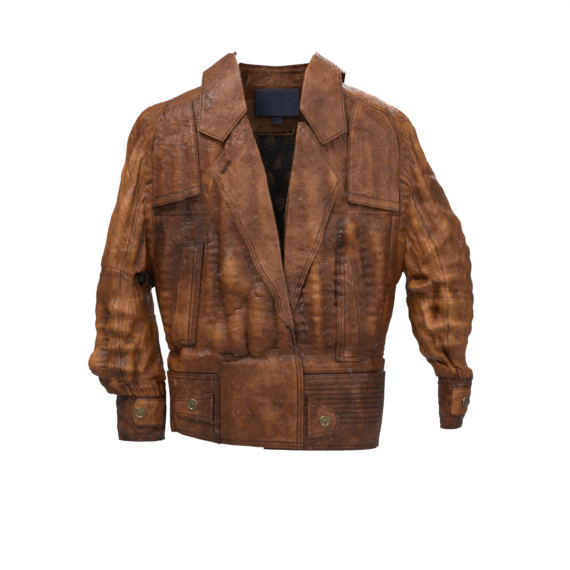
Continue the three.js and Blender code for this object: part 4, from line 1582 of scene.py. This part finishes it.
@dataclass
class Sleeve:
    """One batwing sleeve: two crumpled tubes, the sleeve head, lining, cuff, tab and snap."""

    shop: Workshop
    side: Side
    drape: SleeveDrape
    split: float
    cuff_high: tuple[float, ...]
    cuff_low: tuple[float, ...]
    seam_turn: float = 84.0

    def section(self, share: float, turn: Array) -> Array:
        """A point on the cuff."""
        ring = [a + (b - a) * share for a, b in zip(self.cuff_high, self.cuff_low)]
        return Ring((ring[0], ring[1]), (ring[2], ring[3]), ring[4]).points(turn)

    def tube(self, name: str, first: float, last: float, body: str, bend: Bend | None,
             replaces: tuple[str, ...], gathers: float = 0.0) -> None:
        """Makes one length of the sleeve from its drape, with seams where the length starts and ends."""
        shop, drape = self.shop, self.drape.drape
        rows = round((last - first) * SLEEVE_LENGTH / 3.2)
        near_ends = (0.002, 0.008, 0.992, 0.998)
        share = first + (last - first) * np.unique([*np.linspace(0, 1, rows), *near_ends])
        column = np.arange(0, self.drape.columns, 0.5)
        row, column = np.meshgrid(self.drape.row(share), column, indexing="ij")
        base = drape.place(row, column, 0 * row)
        far = np.concatenate([[0], np.cumsum(np.linalg.norm(np.diff(base, axis=0),
                                                            axis=-1).mean(1))])[:, None]
        degrees = np.degrees(self.drape.turn(column))
        # Painted shade in the fold creases and painted highlight on the crests, from the fold heights.
        wear = np.clip(drape.read(drape.height()[..., None], row, column)[..., 0] * 0.15, -0.9, 0.9) + 0.16
        lift = 0 * row
        seams = (3.0, 9.5) if first > 0 else (3.0,)
        # Painted shade in each stitched groove round the sleeve.
        for distance in seams:
            groove = bell(far, distance, 1.1)
            lift, wear = lift - 0.5 * groove, wear - 0.4 * groove
        lift = lift - 1.1 * bell(far, 0, 1.6) - 1.1 * bell(far[-1] - far, 0, 1.6)
        if gathers:
            gather = np.sin(np.radians(degrees) * 26 + 3 * np.sin(np.radians(degrees) * 3))
            lift = lift + gathers * gather * bell(far[-1] - far, 0, 26)
        spread = (degrees - self.seam_turn + 180) % 360 - 180
        reach = np.radians(spread) * 60
        seam = bell(reach, 0, 1.2)
        # Painted shade in the long seam's groove, with painted highlights on the ridges beside it.
        lift, wear = lift - 1.2 * seam, wear - 0.9 * seam + 0.35 * bell(np.abs(reach), 3.5, 1.8)
        outer, inner = drape.place(row, column, lift), drape.place(row, column, lift * 0 - 1.9)
        piece = shop.shell_mesh(name, outer, inner, "sleeve_leather", wear, looped=True)
        shop.finish(piece, body, "sleeve_leather", replaces, bend)
        for distance in seams:
            i = int(np.argmin(np.abs(far[:, 0] - distance)))
            line, up = np.vstack([outer[i], outer[i][:1]]), outer[i] - inner[i]
            shop.stitch(name, body, line, np.vstack([up, up[:1]]), bend)
        for offset in (4.0, 9.0):
            at = int(np.argmin(np.abs((reach - offset)[0])))
            shop.stitch(name, body, outer[:, at], (outer - inner)[:, at], bend)

    def build(self) -> None:
        """Makes every piece of the sleeve."""
        word, s = self.side.word, self.side.value
        upper, lower = f"{word}_upper_sleeve", f"{word}_forearm"
        shoulder = Bend("torso", upper, (s * 208, 0, 0), (s * 213, 0, 0))
        high, low = (-345, -400) if self.side is Side.RIGHT else (-358, -405)
        elbow = Bend(upper, lower, (0, 0, high), (0, 0, low))
        self.tube(upper, 0.0, self.split, upper, shoulder, (upper, f"{word}_sleeve_head"))
        self.tube(lower, self.split + 0.001, 1.0, lower, elbow, (lower, f"{word}_elbow"), gathers=1.6)
        self.lining()
        self.cuff()

    def lining(self) -> None:
        """The tube of lining inside the upper sleeve."""
        name = f"{self.side.word}_sleeve_lining"
        row, column = np.meshgrid(self.drape.row(np.linspace(0.1, self.split - 0.02, 26)),
                                  np.arange(0, self.drape.columns, 2.0), indexing="ij")
        outer = self.drape.drape.place(row, column, 0 * row - 11, 0.3)
        inner = self.drape.drape.place(row, column, 0 * row - 12, 0.3)
        piece = self.shop.shell_mesh(name, outer, inner, "lining", 0 * row, looped=True)
        width = float(np.linalg.norm(np.diff(outer[12], axis=0), axis=-1).sum()) * MM
        self.shop.finish(piece, f"{self.side.word}_upper_sleeve", "lining", (name,))

    def cuff(self) -> None:
        """The cuff with its dark binding, strap tab and snap."""
        shop, word, s = self.shop, self.side.word, self.side.value
        body = f"{word}_forearm"
        share, turn = np.meshgrid(np.linspace(0, 1, 40), around(180), indexing="ij")
        grid = np.array([self.section(float(a), -s * t) for a, t in zip(share[:, 0], turn)])
        crinkle = 0.9 * waves(grid, 24, 51 + s) + 0.5 * waves(grid, 11, 61 + s)
        length = share * CUFF_LENGTH
        # Paleness follows the crinkle: painted highlight on its rises and painted shade in its dips.
        lift, wear = crinkle + 1.2 * np.sin(np.clip(share, 0, 1) * math.pi), 0.3 * crinkle - 0.05
        # Painted shade in each stitched groove of the cuff.
        for distance in (3.0, 8.0, 68.0, 73.0, 77.0):
            groove = bell(length, distance, 1.2)
            lift, wear = lift - 0.8 * groove, wear - 0.4 * groove
        normal = Drape.normals(grid)
        outer, inner = grid + normal * lift[..., None], grid - normal * 2.2
        shop.finish(shop.shell_mesh(f"{word}_cuff", outer, inner, "band_leather", wear, looped=True), body,
                    "band_leather", (f"{word}_cuff",))
        for distance in (3.0, 8.0, 68.0, 73.0):
            i = round(distance / CUFF_LENGTH * 39)
            up = normal[i]
            shop.stitch(f"{word}_cuff", body, np.vstack([outer[i], outer[i][:1]]), np.vstack([up, up[:1]]))
        self.tab()

    def lying(self, turn: Array, share: Array, lift: Array) -> Array:
        """A point standing off the cuff."""
        at = np.vectorize(lambda t, a: self.section(a, np.array(t)), signature="(),()->(n)")
        ahead = at(turn + 0.03, share) - at(turn - 0.03, share)
        normal = unit(np.cross(ahead, at(turn, share + 0.1) - at(turn, share)))
        return at(turn, share) + normal * self.side.value * np.asarray(lift)[..., None]

    def tab(self) -> None:
        """The strap round the cuff."""
        shop, word = self.shop, self.side.word
        start, end, middle, half, snap = (2.75, 1.3, 0.36, 0.3,
                                          1.62) if self.side is Side.RIGHT else (1.9, 0.5, 0.46, 0.28, 0.95)
        name = f"{word}_cuff_tab"
        u, v = np.meshgrid(np.linspace(0, 1, 40), np.linspace(-1, 1, 18))
        turn = start + (end - start) * u
        share = middle + half * v * (1 - 0.3 * smooth(u, 0.86, 1.0))
        flat = self.lying(turn, share, 4.6 + 0 * u)
        far = Workshop.edge_distances(flat)
        rows = {edge: (3.0,) for edge in (Edge.TOP, Edge.BOTTOM, Edge.SECOND)}
        relief, wear = Workshop.relief(Panel("", [], [], "", "", thick=2.2, puff=0.8, rows=rows), far)
        crinkle = 0.5 * waves(flat, 18, 71)
        outer, inner = self.lying(turn, share, 4.7 + relief + crinkle), self.lying(turn, share, 2.5 + 0 * u)
        # Paler overall, with painted highlight on the crinkle's rises and painted shade in its dips, over the
        # painted edge and groove shade from the relief.
        shop.finish(shop.shell_mesh(name, outer, inner, "trim_leather", wear + 0.35 + 0.2 * crinkle), name,
                    "trim_leather", (name,))
        shop.stitch_rows(name, name, outer, far, rows)
        at, m = np.array(snap), np.array(middle)
        normal = self.lying(at, m, np.array(1.0)) - self.lying(at, m, np.array(0.0))
        Snap(shop, f"{word}_cuff_snap", name).cap(self.lying(at, m, np.array(5.6)), normal)
        Snap(shop, f"{word}_cuff_stud", f"{word}_forearm").stud(self.lying(at, m, np.array(0.6)), normal)


# ---- The studio -------------------------------------------------------------------------------


@dataclass
class Studio:
    """Camera, soft lights and a drum of white paper all round."""

    shop: Workshop
    distance: float = 2.33
    middle: tuple[float, float] = (0.015, -0.344)
    lens: float = 86.5

    @staticmethod
    def light(name: str, at: Point, size: float, power: float) -> None:
        """Hangs one square soft box, aimed at the middle of the jacket."""
        data = bpy.data.lights.new(name, "AREA")
        data.size, data.energy = size, power
        lamp = bpy.data.objects.new(name, data)
        lamp.location = at
        lamp.rotation_euler = (Vector((0, 0, -0.28)) - Vector(at)).to_track_quat("-Z", "Y").to_euler()
        bpy.context.scene.collection.objects.link(lamp)

    def build(self) -> None:
        """Sets up the studio."""
        scene = bpy.context.scene
        data = bpy.data.cameras.new("camera")
        data.lens, data.sensor_width = self.lens, 36
        camera = bpy.data.objects.new("camera", data)
        camera.location = (self.middle[0], -self.distance, self.middle[1])
        camera.rotation_euler = (math.pi / 2, 0, 0)
        scene.collection.objects.link(camera)
        scene.camera = camera
        self.light("key", (-1.0, -1.25, 1.5), 0.55, 54)
        self.light("fill", (1.7, -1.3, 0.5), 0.9, 20)
        self.light("front", (0.2, -2.6, 0.3), 1.2, 12)
        self.light("top", (0.1, 0.4, 1.6), 1.0, 9)
        self.light("back", (0.6, 1.9, 0.9), 1.2, 26)
        world = bpy.data.worlds.new("world")
        world.use_nodes = True
        background = world.node_tree.nodes["Background"]
        background.inputs["Color"].default_value = (1, 1, 1, 1)
        background.inputs["Strength"].default_value = 0.3
        scene.world = world
        scene.view_settings.view_transform = "Standard"
        reach, low, high = 14000, -1100, 9000
        ring = [(reach * math.cos(a), reach * math.sin(a)) for a in around(48)]
        points = [(x, y, z) for z in (low, high) for x, y in ring]
        faces = [tuple(range(48))] + [(k, 48 + k, 48 + (k + 1) % 48, (k + 1) % 48) for k in range(48)]
        self.shop.mesh("studio_floor", np.array(points), faces, "paper")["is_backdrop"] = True


# ---- Folds ------------------------------------------------------------------------------------

FRONT_FOLDS = (
    Fold((-30, -470), (-34, -400), (-22, -320), 8, 5), Fold((-60, -478), (-66, -420), (-58, -340), 7, 4),
    Fold((-95, -480), (-98, -440), (-92, -370), 7, 4), Fold((-5, -475), (2, -420), (-4, -350), 6, -3.5),
    Fold((-45, -476), (-50, -420), (-44, -360), 6, -4), Fold((14, -472), (18, -430), (10, -380), 6, 3.5),
    Fold((-20, -380), (-70, -330), (-112, -250), 9, 4.5),
    Fold((-10, -360), (-50, -300), (-80, -225), 8, -3.5),
    Fold((-110, -255), (-104, -330), (-112, -420), 7, 4),
    Fold((-180, -260), (-176, -350), (-184, -460), 7, 4.5),
    Fold((-190, -300), (-150, -250), (-118, -235), 8, 3),
    Fold((-196, -345), (-178, -300), (-176, -240), 9, 4),
    Fold((-152, -478), (-150, -455), (-156, -440), 6, 4),
    Fold((-172, -478), (-170, -460), (-172, -430), 6, -3),
    Fold((70, -470), (64, -400), (72, -310), 8, 5), Fold((88, -476), (84, -400), (88, -320), 6, -3.5),
    Fold((46, -470), (40, -400), (46, -330), 8, 4.5), Fold((160, -478), (158, -400), (166, -300), 7, 5),
    Fold((176, -470), (178, -400), (188, -320), 7, -4), Fold((80, -290), (104, -250), (150, -240), 8, 4),
    Fold((60, -300), (84, -260), (100, -226), 7, 3.5), Fold((120, -480), (118, -474), (122, -440), 6, 4),
    Fold((190, -340), (176, -300), (160, -240), 9, 4), Fold((104, -215), (112, -290), (92, -430), 6, -5.5),
    Fold((72, -225), (58, -320), (66, -450), 8, 5), Fold((136, -225), (150, -300), (160, -420), 6, -5),
    Fold((158, -225), (170, -300), (176, -400), 8, 5), Fold((40, -260), (34, -350), (50, -470), 6, -4.5),
    Fold((120, -225), (124, -250), (118, -290), 6, 5), Fold((-98, -225), (-92, -300), (-104, -400), 6, -4),
    Fold((-60, -250), (-78, -330), (-70, -420), 8, 5), Fold((-30, -330), (-52, -380), (-90, -400), 7, -4),
    Fold((-40, -520), (-20, -560), (20, -580), 9, 3), Fold((-160, -100), (-150, -160), (-160, -210), 9, 2.5),
    Fold((90, -140), (102, -180), (96, -222), 8, 2.5), Fold((-95, -60), (-100, -110), (-104, -180), 8, 2.5),
    Fold((150, -110), (160, -160), (150, -205), 9, 2.5), Fold((-130, -470), (-126, -452), (-132, -400), 7, 3),
    Fold((-150, -500), (-152, -550), (-150, -600), 8, 2), Fold((-60, -500), (-56, -550), (-64, -604), 9, 2.5),
    Fold((0, -500), (6, -550), (0, -604), 9, -2), Fold((130, -500), (132, -550), (128, -606), 8, 2.5),
)
BACK_FOLDS = (
    Fold((0, -470), (-6, -400), (0, -300), 9, 4), Fold((60, -476), (64, -400), (56, -280), 9, 4.5),
    Fold((-60, -476), (-64, -400), (-54, -290), 9, 4.5), Fold((120, -478), (116, -420), (124, -330), 8, 4),
    Fold((-120, -478), (-116, -420), (-126, -330), 8, 4), Fold((180, -340), (140, -250), (110, -180), 12, 5),
    Fold((-180, -340), (-140, -250), (-110, -180), 12, 5), Fold((30, -478), (28, -450), (34, -410), 6, -3),
    Fold((-30, -478), (-28, -450), (-34, -410), 6, -3), Fold((90, -300), (50, -240), (30, -160), 11, 3.5),
)
SLEEVE_FOLDS = {
    Side.RIGHT: (
        Fold((60, 40), (62, 130), (50, 230), 14, 5), Fold((100, 30), (104, 120), (96, 220), 12, 4.5),
        Fold((20, 60), (30, 150), (24, 240), 12, -3.5), Fold((140, 60), (132, 150), (120, 240), 12, 5),
        Fold((30, 340), (80, 322), (150, 340), 10, 6), Fold((20, 380), (74, 366), (140, 388), 9, 6),
        Fold((160, 330), (128, 372), (90, 420), 10, -5), Fold((30, 430), (86, 410), (150, 424), 9, 5),
        Fold((40, 470), (90, 462), (140, 486), 9, 5), Fold((10, 300), (60, 330), (70, 420), 9, -4),
        Fold((120, 440), (96, 490), (90, 540), 9, 4), Fold((60, 500), (58, 530), (62, 556), 8, 4),
        Fold((-40, 330), (-80, 350), (-130, 330), 12, 5), Fold((-40, 430), (-90, 420), (-140, 440), 12, 5),
        Fold((-60, 60), (-70, 160), (-66, 260), 14, 4), Fold((150, 130), (128, 220), (140, 300), 8, -7),
        Fold((44, 330), (36, 400), (52, 500), 8, -8), Fold((30, 420), (20, 460), (34, 520), 12, 8),
        Fold((130, 400), (120, 450), (104, 540), 8, -6),
    ),
    Side.LEFT: (
        Fold((50, 40), (64, 140), (60, 260), 14, 5), Fold((96, 40), (100, 140), (90, 250), 12, 5),
        Fold((130, 80), (126, 170), (110, 260), 12, -4), Fold((20, 300), (80, 280), (150, 300), 10, 6),
        Fold((30, 350), (84, 340), (150, 366), 10, 6), Fold((150, 300), (112, 360), (76, 420), 10, -5),
        Fold((20, 400), (80, 396), (140, 420), 9, 6), Fold((40, 450), (86, 444), (130, 470), 9, 5),
        Fold((60, 490), (64, 520), (56, 552), 8, 4), Fold((100, 480), (104, 520), (98, 552), 8, 4),
        Fold((20, 190), (70, 215), (130, 200), 11, 4.5), Fold((-50, 320), (-90, 340), (-140, 320), 12, 5),
        Fold((-40, 420), (-90, 410), (-140, 430), 12, 5), Fold((-60, 60), (-70, 160), (-66, 260), 14, 4),
        Fold((160, 215), (132, 262), (104, 300), 8, -9), Fold((168, 250), (140, 292), (120, 330), 9, 7),
        Fold((104, 270), (100, 340), (118, 420), 8, -8), Fold((84, 280), (74, 350), (92, 420), 10, 6),
        Fold((130, 340), (124, 400), (110, 470), 8, 6), Fold((110, 430), (92, 480), (84, 545), 7, -6),
    ),
}
RINGS = {
    Side.RIGHT: [Ring((-226, -50), (-214, -336), 52), Ring((-252, -98), (-214, -340), 56),
                 Ring((-266, -155), (-215, -343), 60),
                 Ring((-283, -235), (-216, -345), 62), Ring((-302, -312), (-216, -347), 62, 12),
                 Ring((-309, -386), (-207, -400), 60),
                 Ring((-308, -454), (-199, -458), 56), Ring((-309, -486), (-193, -492), 52),
                 Ring((-284, -528), (-187, -530), 44)],
    Side.LEFT: [Ring((226, -62), (217, -322), 52), Ring((258, -118), (218, -328), 56),
                Ring((300, -202), (219, -334), 60),
                Ring((327, -272), (220, -340), 62), Ring((337, -350), (222, -356), 62, 6),
                Ring((336, -403), (231, -400), 58),
                Ring((325, -448), (247, -446), 54), Ring((329, -478), (266, -474), 48),
                Ring((333, -500), (274, -500), 44)],
}
CUFFS = {
    Side.RIGHT: ((-271, -528, -187, -530, 42), (-268, -606, -190, -607, 38)),
    Side.LEFT: ((335, -498, 275, -501, 42), (314, -584, 280, -587, 38)),
}


def main() -> None:
    """Builds the jacket piece by piece round its frame, then the studio."""
    logging.basicConfig(level=logging.INFO, format="%(message)s")
    for data in list(bpy.data.objects):
        bpy.data.objects.remove(data, do_unlink=True)
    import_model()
    frame_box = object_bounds()
    body = BodyDrape()
    body.fold(FRONT_FOLDS, BACK_FOLDS)
    collar = BodyDrape(high=58, low=-130, rows=130, ridge=52, slope=0.72, rounding=78)
    flat = collar.drape.flat
    collar.drape.points = flat + Drape.normals(flat) * waves(flat, 60, 41)[..., None]
    body.relax()
    sleeves = {}
    for side in Side:
        sleeves[side] = SleeveDrape(side, RINGS[side], body)
        sleeves[side].fold(SLEEVE_FOLDS[side])
        sleeves[side].relax()
    shop = Workshop(body, collar)
    Back(shop).build()
    for side in Side:
        Shoulder(shop, side).build()
        Front(shop, side).build()
        drape = sleeves[side]
        Sleeve(shop, side, drape, float(drape.marks[5]), *CUFFS[side]).build()
    shop.sew()
    Studio(shop).build()
    boxes = {"cad": frame_box, "visual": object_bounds()}
    plain = {name: [[float(v) for v in corner] for corner in box] for name, box in boxes.items()}
    LOG.info("sizes %s", plain)


if __name__ == "__main__":
    main()
